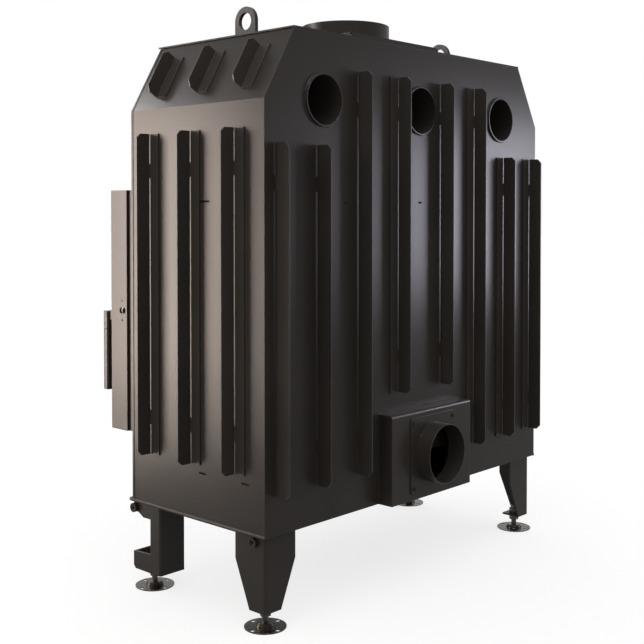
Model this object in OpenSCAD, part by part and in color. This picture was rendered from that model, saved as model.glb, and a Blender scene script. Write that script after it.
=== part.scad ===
// Steel fireplace insert with heat-exchange fins, three convection tubes and a glass door.
// Millimetres. The front faces -Y, +X is the handle side, +Z is up, the floor is z = 0.
// The origin is on the floor, under the middle of the whole insert from its grip to its spigot.

/* [Casing] */
// Width of the casing
body_w = 920; // [840:10:1000]
// Depth of the casing from the front plate to the back plate
body_d = 392; // [380:2:440]
// Height of the upright walls above the casing's underside
wall_h = 803; // [780:1:860]
// Width of the sloping shoulder
chamfer_w = 80; // [60:5:100]
// Height of the sloping shoulder
chamfer_h = 140; // [120:5:160]
// Thickness of the side sheets
sheet_t = 3; // [2:0.5:4]
// Thickness of the front and back plates
plate_t = 5; // [4:0.5:6]
// How far the front and back plates stand proud of the side sheets
plate_lip = 1; // [0.5:0.5:2]
// Thickness of the roof plate
roof_t = 3; // [3:0.5:5]
// Overhang of the roof plate over the shoulders
roof_lip = 3; // [2:1:20]
// Overhang of the roof plate over the front plate
roof_front = 6; // [0:1:15]
// Thickness of the base plate
base_t = 8; // [6:1:10]
// How far the base plate hangs below the back plate
base_drop = 2; // [0:0.5:4]
// How far the base plate stands proud of the side sheets
base_lip = 3; // [1:0.5:5]
// How far the base plate stands out in front
base_front = 11; // [8:1:16]

/* [Heat fins] */
// Thickness of the fin sheet
fin_t = 3; // [2:0.5:4]
// Height of a fin from its wall
fin_h = 35; // [30:1:38]
// Width of the fin's foot beside its plate
fin_foot = 26; // [20:1:30]
// Corner cut of a fin
fin_cut = 9.5; // [5:0.5:12]
// Width of the relief slit along the bend, measured up the plate
slit_h = 3.5; // [3.5:0.5:8]
// Width of the relief slit in the foot
slit_w = 2; // [2:0.5:8]
// Length of the bridges that join plate and foot
bridge = 28.6; // [20:0.2:40]
// Distance of a bridge from the fin's end
bridge_end = 60.2; // [40:0.2:80]
// Length of the side fins
side_fin_len = 646; // [600:2:660]
// Height of the side fins' lower ends above the casing's underside
side_fin_z = 107.5; // [100:0.5:120]
// Position of the middle side fin's plate
side_fin_y = -8; // [-12:1:0]
// Pitch of the side fins
side_fin_pitch = 125; // [110:1:130]
// Length of the short back fins
back_fin_short = 651; // [600:1:655]
// Length of the long back fins
back_fin_long = 801; // [760:1:810]
// Height of the outer back fins' lower ends
back_fin_z = 73; // [60:1:80]
// Distance of the outer back fins from the casing's edge
back_fin_edge = 29.6; // [28:0.2:36]
// Distance of the next back fins from the middle
back_fin_x2 = 318; // [310:1:330]
// Distance of the long back fins from the middle
back_fin_x3 = 198; // [180:1:215]
// Distance of the inner back fins from the middle
back_fin_x4 = 75; // [70:1:80]
// Height of a shoulder fin from its slope
shoulder_fin_h = 33; // [25:1:38]
// Length of a shoulder fin along the slope
shoulder_fin_len = 97; // [80:1:100]
// Distance of a shoulder fin from the lower bend
shoulder_fin_s = 27.5; // [22:0.5:32]
// Position of the middle shoulder fin's plate
shoulder_fin_y = -2; // [-8:1:4]

/* [Convection tubes] */
// Outer radius of a convection tube
tube_r = 51; // [46:0.5:56]
// Wall of a convection tube
tube_wall = 3; // [2:0.5:4]
// Height of the tubes' centres above the casing's underside
tube_z = 811; // [800:1:825]
// Distance of the outer tubes from the middle one
tube_x = 303; // [270:1:310]
// How far a tube stands out of the plates
tube_rim = 5; // [3:0.5:10]

/* [Flue] */
// Outer radius of the flue collar
flue_r = 98.5; // [88:0.5:105]
// Wall of the flue collar
flue_wall = 3; // [2:0.5:4]
// Height of the collar above the roof
flue_h = 68; // [50:1:90]
// Position of the flue in front of the middle
flue_y = -15.7; // [-30:0.1:0]
// Side of the square box below the collar
flue_box_w = 297; // [270:1:310]
// Height of the square box
flue_box_h = 24; // [16:1:30]
// Side of the roof's smoke opening
smoke_w = 220; // [200:5:240]

/* [Lifting lugs] */
// Distance of a lug from the middle
lug_x = 325.5; // [300:0.5:340]
// Position of a lug's centre
lug_y = 6.5; // [-5:0.5:15]
// Width of a lug
lug_w = 59; // [50:1:70]
// Thickness of a lug
lug_t = 8; // [6:1:12]
// Height of the eye's centre above the roof
lug_eye_z = 37; // [30:1:40]
// Radius of the eye
lug_eye_r = 17.5; // [12:0.5:20]

/* [Air inlet] */
// Width of the air box on the back
air_box_w = 273; // [240:1:290]
// Height of the air box
air_box_h = 184; // [176:1:190]
// Depth of the air box
air_box_d = 35.6; // [30:0.2:45]
// Sheet of the air box
air_box_t = 3; // [2:0.5:4]
// Bend radius of the air box
air_box_bend = 6; // [4:0.5:8]
// Height of the spigot's centre
spigot_z = 91.5; // [85:0.5:95]
// Outer radius of the spigot
spigot_r = 62.5; // [50:0.5:65]
// Wall of the spigot
spigot_wall = 2; // [1.5:0.5:3]
// Length of the spigot beyond its plate
spigot_len = 35.5; // [25:0.5:60]
// Width of the spigot's plate
spigot_plate_w = 154; // [148:1:160]
// Height of the spigot's plate
spigot_plate_h = 158; // [152:1:164]
// Thickness of the spigot's plate
spigot_plate_t = 3; // [2:0.5:4]
// Distance between the plate's screws
spigot_screw_gap = 135; // [130:1:140]
// Radius of the plate's screws
spigot_screw_r = 2.5; // [2:0.5:3]

/* [Legs and feet] */
// Height of the casing's underside above the floor
leg_h = 178; // [170:1:186]
// Height of the legs' lower ends above the floor
leg_low = 33.4; // [31:0.2:36]
// Sheet of the legs
leg_t = 4; // [3:0.5:5]
// Outer radius of the legs' bend
bend_r = 5; // [4:0.5:8]
// Inset of a leg's outer corner from the casing's edge
leg_inset = 10; // [6:1:16]
// Width of a rear leg's flanges
rear_leg_w = 80; // [70:1:90]
// Width of a rear leg at its lower end
rear_leg_low_w = 42; // [40:1:60]
// Height of a rear leg's straight part
rear_leg_straight = 54.5; // [40:0.5:70]
// Distance of the front legs' back face from the casing's front
front_leg_back = 77; // [70:1:90]
// Width of a front leg's back flange
front_leg_w = 63; // [58:1:75]
// Distance of the feet from the legs' outer faces
foot_in = 24.3; // [20:0.1:27]
// Distance of the front feet from the front legs' tips
foot_tip_in = 39; // [36:0.5:44]
// Radius of a foot's disc
foot_r = 40; // [30:1:50]
// Thickness of a foot's disc
foot_t = 2; // [1.6:0.1:4]
// Radius of the levelling screw
screw_r = 6; // [5:0.5:7]
// Height of the levelling screw's end above the floor
screw_top = 57; // [55:1:80]
// Thickness of the lock nut below the leg
nut_h = 12; // [8:0.5:12]
// Thickness of the nut above the leg's bottom plate
top_nut_h = 11; // [8:0.5:12]
// Width of the lock nut across its flats
nut_af = 19; // [18:0.5:22]
// Running clearance of shafts and screws
running = 0.05; // [0.02:0.01:0.08]

/* [Door] */
// Height of the door's lower edge above the casing's underside
door_z = 142; // [138:1:150]
// Height of the door
door_h = 500; // [480:1:520]
// Depth of the door
door_d = 53; // [48:1:60]
// Gap between the casing's front and the door's back
door_gap = 17; // [16:0.5:20]
// Sheet of the door
door_t = 3; // [2:0.5:4]
// Width of the door's stiles and rails
stile = 58; // [56:1:66]
// How far the glass reaches behind the stiles
glass_lap = 12; // [8:1:14]
// Room between the glass and its pocket
glass_room = 4; // [2:0.5:5]
// Thickness of the glass
glass_t = 4; // [3:0.5:5]
// Thickness of the glass tape
tape_t = 2; // [1:0.5:3]
// Thickness of the surround behind the door
surround_d = 15.5; // [13:0.5:15.5]
// Inset of the surround from the casing's edge
surround_inset = 5; // [3:0.5:7]
// Width of the surround's bars
surround_w = 54; // [52:1:56]
// Radius of the hinge pins
pin_r = 3; // [2.5:0.5:3.5]
// Radius of the hinge knuckles
knuckle_r = 6; // [5.5:0.5:6.5]
// Length of one hinge knuckle
knuckle_h = 26; // [20:1:36]
// Distance of the hinges from the door's ends
hinge_end = 60; // [50:1:90]

/* [Handle] */
// Position of the handle from the door's edge
handle_in = 18; // [17:0.5:19]
// Height of the handle's shaft above the door's lower edge
shaft_up = 249.7; // [240:0.5:260]
// Distance of the shaft from the door's back
shaft_in = 10.7; // [10.5:0.1:12]
// Radius of the shaft
shaft_r = 6.2; // [5:0.1:6.4]
// Width of the grip
grip_w = 22; // [18:1:24]
// Depth of the grip
grip_d = 18; // [14:1:20]
// Gap between the grip and the door
grip_gap = 23; // [20:1:30]
// Length of the grip below its head
grip_len = 130; // [100:1:150]
// Height of the handle's head
head_h = 37; // [30:1:45]
// Drop of the head's top below the shaft
head_drop = 5.7; // [4:0.1:8]
// Thickness of the handle's arm
arm_t = 12; // [10:0.5:12]
// Height of the handle's arm
arm_h = 18; // [14:1:18]

/* [Firebox] */
// Thickness of the lining
brick_t = 30; // [25:1:35]
// Gap between the lining's top and the baffle's brackets
lining_room = 16.7; // [12:0.1:40]
// Gap between lining pieces
brick_gap = 1; // [0.5:0.1:2]
// Clearance of parts that lie against each other
seat = 0.3; // [0.2:0.1:0.4]
// Height of the hearth brackets above the casing's underside
hearth_z = 92; // [90:1:95]
// Thickness of the hearth plate
hearth_t = 5; // [4:0.5:6]
// Width of the grate
grate_w = 220; // [180:5:260]
// Depth of the grate
grate_d = 160; // [120:5:180]
// Height of the baffle brackets
baffle_z = 617; // [615:1:625]
// Thickness of the baffle
baffle_t = 25; // [20:1:30]
// Depth of the baffle from the back
baffle_d = 230; // [200:5:250]

/* [Ash drawer and air slide] */
// Width of the drawer
drawer_w = 280; // [240:5:300]
// Depth of the drawer
drawer_d = 300; // [260:5:320]
// Height of the drawer
drawer_h = 60; // [50:1:64]
// Height of the drawer's underside
drawer_z = 20; // [18:1:22]
// Sheet of the drawer
drawer_t = 2; // [1.5:0.5:3]
// Centre of the air slide from the middle
air_x = 290; // [270:5:310]
// Height of the air slide
air_z = 70; // [60:1:80]
// Travel of the air slide
air_travel = 30; // [24:1:34]

/* [Hidden] */

PAINT = [0.20, 0.19, 0.19];
ZINC = [0.45, 0.45, 0.46];
BLACK = [0.10, 0.10, 0.10];
BRICK = [0.72, 0.64, 0.52];
CAST = [0.16, 0.15, 0.15];
CERAMIC = [0.25, 0.27, 0.28];
ROPE = [0.55, 0.54, 0.50];

body_h = wall_h + chamfer_h;
front_y = -body_d / 2;
back_y = body_d / 2;
side_x = body_w / 2 - plate_lip;
base_top = base_t - base_drop;
slope_a = atan(chamfer_w / chamfer_h);
inside_x = side_x - sheet_t;
inside_front = front_y + plate_t;
inside_back = back_y - plate_t;
roof_x = body_w / 2 - chamfer_w + roof_lip;

// Lower end, length and foot direction (1 towards +X) of each back fin on the right half
BACK_FINS = [
    [body_w / 2 - back_fin_edge, back_fin_z, back_fin_short, -1],
    [back_fin_x2, back_fin_z, back_fin_short, -1],
    [back_fin_x3, back_fin_z, back_fin_long, -1],
    [back_fin_x4, back_fin_z + back_fin_long - back_fin_short, back_fin_short, 1]
];

air_face_y = back_y + air_box_d;
air_port_w = air_box_w - 73;
air_port_h = 60;
air_port_z = 26;

leg_x = body_w / 2 - leg_inset;
foot_x = leg_x - foot_in;
leg_top = -base_drop;
leg_bottom = leg_low - leg_h;
rear_leg_y = back_y - leg_inset;
front_leg_y = front_y + front_leg_back;
front_leg_tip = front_y - leg_inset;
rear_foot_y = rear_leg_y - foot_in;
front_foot_y = front_leg_tip + foot_tip_in;
front_tab_h = 23;
front_notch_y = 55.4;
front_notch_top = 31.4;
tray_h = 36;
rear_bolt_y = rear_leg_y - 27;
rear_bolt_z = leg_top - 12;
front_bolt_y = front_leg_tip + 8;
front_bolt_z = leg_top - 14;
bolt_r = 4;
bolt_head_r = 9.5;
bolt_head_h = 8.2;
bolt_recess_r = 6.5;
bolt_recess = 1.6;
bolt_socket_r = 3.5;
bolt_socket = 3;
bolt_nut_r = 7.2;
bolt_nut_h = 6.5;
bolt_over = 8;
bracket_t = 4;
bracket_lap = 24;
rear_bracket_half = 15;
rear_bracket_h = 28;
front_bracket_ahead = 7;
front_bracket_behind = 40;
front_bracket_h = front_tab_h - 1;
strap_w = 32;
strap_x = 262;
leg_plate_over = 2;
foot_hole_ring = 33;
foot_hole_r = 4.5;
hub_r = 18;
hub_low = 6;
hub_top_r = 15.6;
hub_high = 9.5;

door_back_y = front_y - door_gap;
door_front_y = door_back_y - door_d;
door_top = door_z + door_h;
door_x = body_w / 2;
window_x = door_x - stile;
window_low = door_z + stile;
window_high = door_top - stile;
pocket = glass_lap + glass_room;
glass_front_y = door_front_y + door_t + tape_t;
surround_x = body_w / 2 - surround_inset;
surround_in_x = surround_x - surround_w;
surround_front_y = front_y - surround_d;
throat_x = surround_in_x - 12;
throat_low = door_z + surround_w + 6;
throat_high = door_top - surround_w - 6;
hinge_x = -door_x + knuckle_r;
hinge_back = 0.5;
hinge_y = front_y - door_gap / 2 - hinge_back;
hinge_gap = 0.3;
surround_drop = 2;
gasket_w = 10;
gasket_depth = 5;
gasket_in = 5;
gasket_x = surround_in_x + gasket_in;
gasket_low = door_z + surround_w - gasket_in - gasket_w;
gasket_high = door_top - surround_drop - surround_w + gasket_in + gasket_w;
hinge_zs = [door_z + hinge_end, door_top - hinge_end - 2 * knuckle_h];

handle_x = door_x - handle_in;
shaft_y = door_back_y - shaft_in;
shaft_z = door_z + shaft_up;
grip_back_y = door_front_y - grip_gap;
grip_y = grip_back_y - grip_d / 2;
head_top = shaft_z - head_drop;
slot_up = 18;
slot_down = 27;
slot_room = 1;
bearing_t = 4;
bearing_reach = 18;
bearing_half = 28;
cover_half = 13;
cover_end = 7;
cover_t = 2;
hook_x = handle_x - arm_t / 2 - 9;
hook_t = 6;
hook_reach = 23;
hook_low = 14;
hook_arm_top = 4;
hook_lip = 4;
keeper_gap = 0.5;
keeper_t = 5;
latch_side = 3;
latch_below = 14;
latch_above = 16;
boss_r = shaft_r + 4;
arm_flare = 30;
bearing_screw_up = 20;
bearing_screw_in = 5.1;
bearing_screw_r = 2;
shaft_hole_r = 6.4;
shaft_hole_len = 8;
clip_end = 60;
clip_w = 30;
clip_leg = 24;
clip_t = 2;
clip_lap = 13;
origin_y = -(grip_back_y - grip_d + air_face_y + spigot_plate_t + spigot_len) / 2;

bracket_plate = 3;
hearth_low = hearth_z + bracket_plate / 2;
hearth_top = hearth_low + hearth_t;
floor_top = hearth_top + brick_t;
bracket_y1 = 23.3;
bracket_y2 = 143.5;
baffle_bracket_y = 28.5;
hearth_tab = 20.4;
baffle_tab = 33.4;
back_tab_w = 10;
probe_x = 239.4;
probe_r = 2.5;
tab_recess = 2.4;
leaf_over = 4;
hearth_reach = 30;
hearth_drop = 26;
baffle_reach = 45;
baffle_drop = 12;
back_bracket_w = 40;
back_bracket_d = 40;
lining_low = hearth_top + seat;
brick_h = baffle_z - bracket_plate / 2 - lining_room - lining_low;
grate_rest = 12;
grate_gap = 10;
grate_pitch = 18;
grate_bar_h = 14;

drawer_front_t = 4;
drawer_front_lap = 12;
drawer_front_drop = 8;
drawer_room = 2;
pull_w = 80;
pull_up = 6;
pull_reach = 18;
pull_drop = 10;
pull_t = 3;
rail_w = 16;
rail_t = 3;
rail_h = 20;
rail_over = 20;
air_slot_h = 8;
air_pin_r = 3;
air_plate_w = 180;
air_plate_h = 40;
air_plate_end = 6;
air_sheet_t = 3;
air_hole_r = 12;
air_slide_in = 4;
air_port_in = 8;
knob_r = 11;
knob_out = 34;
knob_len = 22;

// Places its children on the casing's own level, above the legs
module on_legs() {
    translate([0, origin_y, leg_h]) children();
}

// Shows its children and their mirror image on the left
module both_sides() {
    children();
    mirror([1, 0, 0]) children();
}

// Box given by its low and high corners
module block(low, high) {
    translate(low) cube(high - low);
}

// Outline of the casing seen from the front, cut flat under the roof plate
module casing_outline(low) {
    top = body_h - roof_t;
    half = body_w / 2;
    top_x = half - chamfer_w * (chamfer_h - roof_t) / chamfer_h;
    polygon([[-half, low], [half, low], [half, wall_h], [top_x, top], [-top_x, top], [-half, wall_h]]);
}

// Outline in X and Z, made into a plate between two places along Y
module plate_y(y0, y1) {
    translate([0, y1, 0]) rotate([90, 0, 0]) linear_extrude(y1 - y0) children();
}

// Outline in Y and Z, made into a plate between two places along X
module plate_x(x0, x1) {
    translate([x0, 0, 0]) rotate([90, 0, 90]) linear_extrude(x1 - x0) children();
}

// Round bar or hole along Y
module rod_y(r, y0, y1, x, z) {
    translate([x, y0, z]) rotate([-90, 0, 0]) cylinder(r = r, h = y1 - y0, $fn = 96);
}

// Round bar or hole along X
module rod_x(r, x0, x1, y, z) {
    translate([x0, y, z]) rotate([0, 90, 0]) cylinder(r = r, h = x1 - x0, $fn = 64);
}

// Holes that the three convection tubes pass through
module tube_holes(y0, y1) {
    for (x = [-tube_x, 0, tube_x]) rod_y(tube_r + seat, y0, y1, x, tube_z);
}

module back_panel() {
    color(PAINT) on_legs() difference() {
        plate_y(inside_back, back_y) casing_outline(0);
        tube_holes(inside_back - 1, back_y + 1);
        block([-air_port_w / 2, inside_back - 1, air_port_z],
              [air_port_w / 2, back_y + 1, air_port_z + air_port_h]);
        rod_y(probe_r, inside_back - 1, back_y + 1, probe_x, baffle_z - 2.4);
        block([-back_tab_w / 2 - seat, inside_back - 1, baffle_z - bracket_plate / 2 - seat],
              [back_tab_w / 2 + seat, back_y + 1, baffle_z + bracket_plate / 2 + seat]);
    }
}

module front_panel() {
    color(PAINT) on_legs() difference() {
        plate_y(front_y, inside_front) casing_outline(base_top);
        tube_holes(front_y - 1, inside_front + 1);
        block([-throat_x, front_y - 1, throat_low], [throat_x, inside_front + 1, throat_high]);
        block([-drawer_w / 2 - drawer_room, front_y - 1, drawer_z - drawer_room],
              [drawer_w / 2 + drawer_room, inside_front + 1, drawer_z + drawer_h + drawer_room]);
        air_slot(front_y - 1, inside_front + 1, air_slot_h / 2);
    }
}

// Slot with round ends that the air slide's pin travels in
module air_slot(y0, y1, r) {
    x0 = air_x - air_travel / 2;
    x1 = air_x + air_travel / 2;
    rod_y(r, y0, y1, x0, air_z);
    rod_y(r, y0, y1, x1, air_z);
    block([x0, y0, air_z - r], [x1, y1, air_z + r]);
}

// Side sheet, bent once at the shoulder, on the right-hand side
module side_sheet() {
    top = body_h - roof_t;
    shoulder_x = chamfer_w * (chamfer_h - roof_t) / chamfer_h;
    difference() {
        plate_y(inside_front, inside_back) polygon([
            [side_x, base_top],
            [side_x, wall_h],
            [side_x - shoulder_x, top],
            [side_x - shoulder_x - sheet_t / cos(slope_a), top],
            [inside_x, wall_h - sheet_t * tan(slope_a / 2)],
            [inside_x, base_top]
        ]);
        for (y = [bracket_y1, bracket_y2]) tab_slot(y, hearth_tab, hearth_z, seat);
        tab_slot(baffle_bracket_y, baffle_tab, baffle_z, seat);
    }
}

// Slot in the side sheet for a bracket's tab
module tab_slot(y, len, z, room) {
    half = bracket_plate / 2 + room;
    block([inside_x - 1, y - len / 2 - room, z - half], [side_x + 1, y + len / 2 + room, z + half]);
}

module side_panel_right() {
    color(PAINT) on_legs() side_sheet();
}

module side_panel_left() {
    color(PAINT) on_legs() mirror([1, 0, 0]) side_sheet();
}

module roof_plate() {
    color(PAINT) on_legs() difference() {
        block([-roof_x, front_y - roof_front, body_h - roof_t], [roof_x, back_y, body_h]);
        block([-smoke_w / 2, flue_y - smoke_w / 2, body_h - roof_t - 1],
              [smoke_w / 2, flue_y + smoke_w / 2, body_h + 1]);
    }
}

// Base plate with a rounded lip along its front and sides
module base_plate() {
    nose = base_t / 2;
    x = side_x + base_lip - nose;
    y = front_y - base_front + nose;
    z = base_top - nose;
    color(PAINT) on_legs() difference() {
        union() {
            block([-x, y, -base_drop], [x, inside_back, base_top]);
            rod_x(nose, -x, x, y, z);
            for (s = [-x, x]) {
                rod_y(nose, y, back_y, s, z);
                translate([s, y, z]) sphere(r = nose, $fn = 48);
            }
        }
        block([-body_w / 2, inside_back, -base_drop - 1], [body_w / 2, back_y + 1, base_top + 1]);
    }
}

module flue_base_box() {
    half = flue_box_w / 2;
    low = body_h;
    high = body_h + flue_box_h;
    notch = 7;
    color(PAINT) on_legs() difference() {
        block([-half, flue_y - half, low], [half, flue_y + half, high]);
        block([-half + sheet_t, flue_y - half + sheet_t, low - 1],
              [half - sheet_t, flue_y + half - sheet_t, high - sheet_t]);
        translate([0, flue_y, high - sheet_t - 1]) {
            cylinder(r = flue_r - flue_wall, h = sheet_t + 2, $fn = 96);
        }
        for (sx = [-1, 1], sy = [-1, 1]) translate([sx * half, flue_y + sy * half, high])
            cube([notch, notch, notch], center = true);
    }
}

module flue_collar() {
    low = body_h + flue_box_h;
    color(PAINT) on_legs() translate([0, flue_y, low]) difference() {
        cylinder(r = flue_r, h = body_h + flue_h - low, $fn = 128);
        translate([0, 0, -1]) cylinder(r = flue_r - flue_wall, h = flue_h + 2, $fn = 128);
    }
}

module lifting_lugs() {
    color(PAINT) on_legs() both_sides() difference() {
        union() {
            block([lug_x - lug_t / 2, lug_y - lug_w / 2, body_h],
                  [lug_x + lug_t / 2, lug_y + lug_w / 2, body_h + lug_eye_z]);
            rod_x(lug_w / 2, lug_x - lug_t / 2, lug_x + lug_t / 2, lug_y, body_h + lug_eye_z);
        }
        rod_x(lug_eye_r, lug_x - lug_t / 2 - 1, lug_x + lug_t / 2 + 1, lug_y, body_h + lug_eye_z);
    }
}

// Convection tube that runs from the front plate to the back plate
module convection_tube(x) {
    color(PAINT) on_legs() difference() {
        rod_y(tube_r, front_y - tube_rim, back_y + tube_rim, x, tube_z);
        rod_y(tube_r - tube_wall, front_y - tube_rim - 1, back_y + tube_rim + 1, x, tube_z);
    }
}

// Air box, open towards the casing, with its upper front edge bent round
module air_inlet_box() {
    color(PAINT) on_legs() difference() {
        air_box_solid(0);
        air_box_solid(air_box_t);
        rod_y(spigot_r - spigot_wall, back_y, air_face_y + 1, 0, spigot_z);
        spigot_screw_holes(air_face_y - air_box_t - 1, air_face_y + 1);
    }
}

// Solid form of the air box, shrunk by a wall where it is the hollow
module air_box_solid(wall) {
    half = air_box_w / 2 - wall;
    bend = air_box_bend - wall / 2;
    low_y = back_y - (wall > 0 ? 1 : 0);
    high_y = air_face_y - wall;
    high_z = air_box_h - wall;
    block([-half, low_y, wall], [half, high_y, high_z - bend]);
    block([-half, low_y, wall], [half, high_y - bend, high_z]);
    rod_x(bend, -half, half, high_y - bend, high_z - bend);
}

// Four holes that the spigot plate's screws pass through
module spigot_screw_holes(y0, y1) {
    gap = spigot_screw_gap / 2;
    for (sx = [-gap, gap], sz = [-gap, gap]) rod_y(spigot_screw_r + running, y0, y1, sx, spigot_z + sz);
}

module air_spigot() {
    plate_y1 = air_face_y + spigot_plate_t;
    rim_y = plate_y1 + spigot_len;
    color(PAINT) on_legs() difference() {
        union() {
            translate([0, air_face_y, spigot_z]) rotate([-90, 0, 0]) linear_extrude(spigot_plate_t)
                rounded_rectangle(spigot_plate_w, spigot_plate_h, 8);
            rod_y(spigot_r, air_face_y, rim_y, 0, spigot_z);
        }
        rod_y(spigot_r - spigot_wall, air_face_y - 1, rim_y + 1, 0, spigot_z);
        spigot_screw_holes(air_face_y - 1, plate_y1 + 1);
    }
}

// Rectangle with round corners, centred
module rounded_rectangle(w, h, r) {
    square([w - 2 * r, h], center = true);
    square([w, h - 2 * r], center = true);
    for (sx = [-1, 1], sy = [-1, 1]) translate([sx * (w / 2 - r), sy * (h / 2 - r)]) circle(r = r, $fn = 48);
}

module spigot_screws() {
    plate_y1 = air_face_y + spigot_plate_t;
    gap = spigot_screw_gap / 2;
    color(BLACK) on_legs() for (sx = [-1, 1], sz = [-1, 1]) translate([sx * gap, 0, spigot_z + sz * gap]) {
        rod_y(spigot_screw_r, air_face_y - air_box_t - 2, plate_y1, 0, 0);
        translate([0, plate_y1, 0]) rotate([-90, 0, 0]) difference() {
            cylinder(r = 4.4, h = 2.4, $fn = 40);
            translate([0, 0, 1]) cylinder(r = 1.8, h = 2, $fn = 6);
        }
    }
}

// Bent fin: a foot flat on the wall (y = 0) towards +X, a plate that stands up at x = 0,
// joined by two bridges across a relief slit along the bend
module fin(len, high, slit) {
    difference() {
        union() {
            plate_x(-fin_t, 0) polygon([
                [0, 0], [high - fin_cut, 0], [high, fin_cut],
                [high, len - fin_cut], [high - fin_cut, len], [0, len]
            ]);
            block([-fin_t, 0, 0], [fin_foot, fin_t, len]);
        }
        if (slit) {
            slit_part(-1, bridge_end);
            slit_part(bridge_end + bridge, len - bridge_end - bridge);
            slit_part(len - bridge_end, len + 1);
        }
    }
}

// One length of the relief slit
module slit_part(z0, z1) {
    block([-fin_t - 1, -1, z0], [slit_w, slit_h, z1]);
}

// One back fin, with its foot towards +X when turn is 1 and towards -X when it is -1
module back_fin(x, z, len, turn) {
    translate([x, back_y, z]) mirror([turn > 0 ? 0 : 1, 0, 0]) {
        translate([fin_t / 2, 0, 0]) fin(len, fin_h, true);
    }
}

module back_fins_right() {
    color(PAINT) on_legs() for (f = BACK_FINS) back_fin(f[0], f[1], f[2], f[3]);
}

module back_fins_left() {
    color(PAINT) on_legs() mirror([1, 0, 0]) for (f = BACK_FINS) back_fin(f[0], f[1], f[2], f[3]);
}

// Three fins on the right-hand wall, with their feet towards the back
module side_fin_row() {
    for (i = [-1, 0, 1]) translate([side_x, side_fin_y + i * side_fin_pitch, side_fin_z])
        mirror([0, 1, 0]) rotate([0, 0, -90]) fin(side_fin_len, fin_h, true);
}

module side_fins_right() {
    color(PAINT) on_legs() side_fin_row();
}

module side_fins_left() {
    color(PAINT) on_legs() mirror([1, 0, 0]) side_fin_row();
}

// Three short fins on the right-hand shoulder
module shoulder_fin_row() {
    for (i = [-1, 0, 1]) translate([side_x, shoulder_fin_y + i * side_fin_pitch, wall_h])
        rotate([0, -slope_a, 0]) translate([0, 0, shoulder_fin_s])
        mirror([0, 1, 0]) rotate([0, 0, -90]) fin(shoulder_fin_len, shoulder_fin_h, false);
}

module shoulder_fins() {
    color(PAINT) on_legs() both_sides() shoulder_fin_row();
}

// Half outline of a tapering rear leg flange: u runs from the corner inwards
module rear_flange_outline() {
    polygon([
        [0, leg_top], [rear_leg_w, leg_top], [rear_leg_w, -rear_leg_straight],
        [rear_leg_low_w, leg_bottom], [0, leg_bottom]
    ]);
}

// Waste outside the rounded bend of a leg whose outer corner is at leg_x and y
module bend_waste(y) {
    difference() {
        block([leg_x - bend_r, y - bend_r, leg_bottom - 1], [leg_x + 1, y + 1, leg_top + 1]);
        translate([leg_x - bend_r, y - bend_r, leg_bottom - 2]) {
            cylinder(r = bend_r, h = leg_top - leg_bottom + 4, $fn = 64);
        }
    }
}

// Rear leg: two tapering flanges and a bottom plate with a threaded hole
module rear_leg() {
    difference() {
        translate([leg_x, rear_leg_y, 0]) union() {
            rotate([0, 0, 180]) plate_y(0, leg_t) rear_flange_outline();
            mirror([0, 1, 0]) plate_x(-leg_t, 0) rear_flange_outline();
            block([-rear_leg_low_w - leg_plate_over, -rear_leg_low_w - leg_plate_over, leg_bottom],
                  [-leg_t / 2, -leg_t / 2, leg_bottom + leg_t]);
        }
        bend_waste(rear_leg_y);
        foot_hole(rear_foot_y);
        rod_x(bolt_r + running, leg_x - leg_t - 1, leg_x + 1, rear_bolt_y, rear_bolt_z);
    }
}

// Front leg: back flange, side flange with a notch open to the front, and a foot tray
module front_leg() {
    back = front_leg_y;
    tip = front_leg_tip;
    tray_top = leg_bottom + tray_h;
    tray_cut = 6;
    difference() {
        union() {
            plate_x(leg_x - leg_t, leg_x) polygon([
                [back, leg_top], [tip + 1, leg_top], [tip + 1, leg_top - front_tab_h],
                [tip + 16, leg_top - front_tab_h], [tip + 32.5, leg_top - front_notch_top],
                [tip + front_notch_y, leg_top - front_notch_top], [tip + front_notch_y, tray_top + 3],
                [tip, tray_top], [tip, leg_bottom + tray_cut],
                [tip + tray_cut, leg_bottom], [back, leg_bottom]
            ]);
            block([leg_x - front_leg_w, back - leg_t, leg_bottom], [leg_x, back, leg_top]);
            block([leg_x - front_leg_w - leg_plate_over, tip + tray_cut, leg_bottom],
                  [leg_x, back - leg_t / 2, leg_bottom + leg_t]);
            block([leg_x - front_leg_w, tip, leg_bottom + tray_cut], [leg_x, tip + leg_t, tray_top]);
            plate_x(leg_x - front_leg_w, leg_x) polygon([
                [tip, leg_bottom + tray_cut], [tip + tray_cut, leg_bottom],
                [tip + tray_cut, leg_bottom + leg_t], [tip + leg_t, leg_bottom + tray_cut]
            ]);
        }
        bend_waste(back);
        foot_hole(front_foot_y);
        rod_x(bolt_r + running, leg_x - leg_t - 1, leg_x + 1, front_bolt_y, front_bolt_z);
    }
}

// Threaded hole in a leg's bottom plate
module foot_hole(y) {
    translate([foot_x, y, leg_bottom - 1]) cylinder(r = screw_r + running, h = leg_t + 2, $fn = 48);
}

module rear_leg_right() {
    color(PAINT) on_legs() rear_leg();
}

module rear_leg_left() {
    color(PAINT) on_legs() mirror([1, 0, 0]) rear_leg();
}

module front_leg_right() {
    color(PAINT) on_legs() front_leg();
}

module front_leg_left() {
    color(PAINT) on_legs() mirror([1, 0, 0]) front_leg();
}

// Upright tab under the base plate that a leg is bolted to
module leg_bracket(y0, y1, high, bolt_y, bolt_z) {
    x1 = leg_x - leg_t;
    difference() {
        union() {
            block([x1 - bracket_t, y0, leg_top - high], [x1, y1, leg_top]);
            block([x1 - bracket_lap, y0, leg_top - bracket_t], [x1, y1, leg_top]);
        }
        rod_x(bolt_r + running, x1 - bracket_t - 1, x1 + 1, bolt_y, bolt_z);
    }
}

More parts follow.
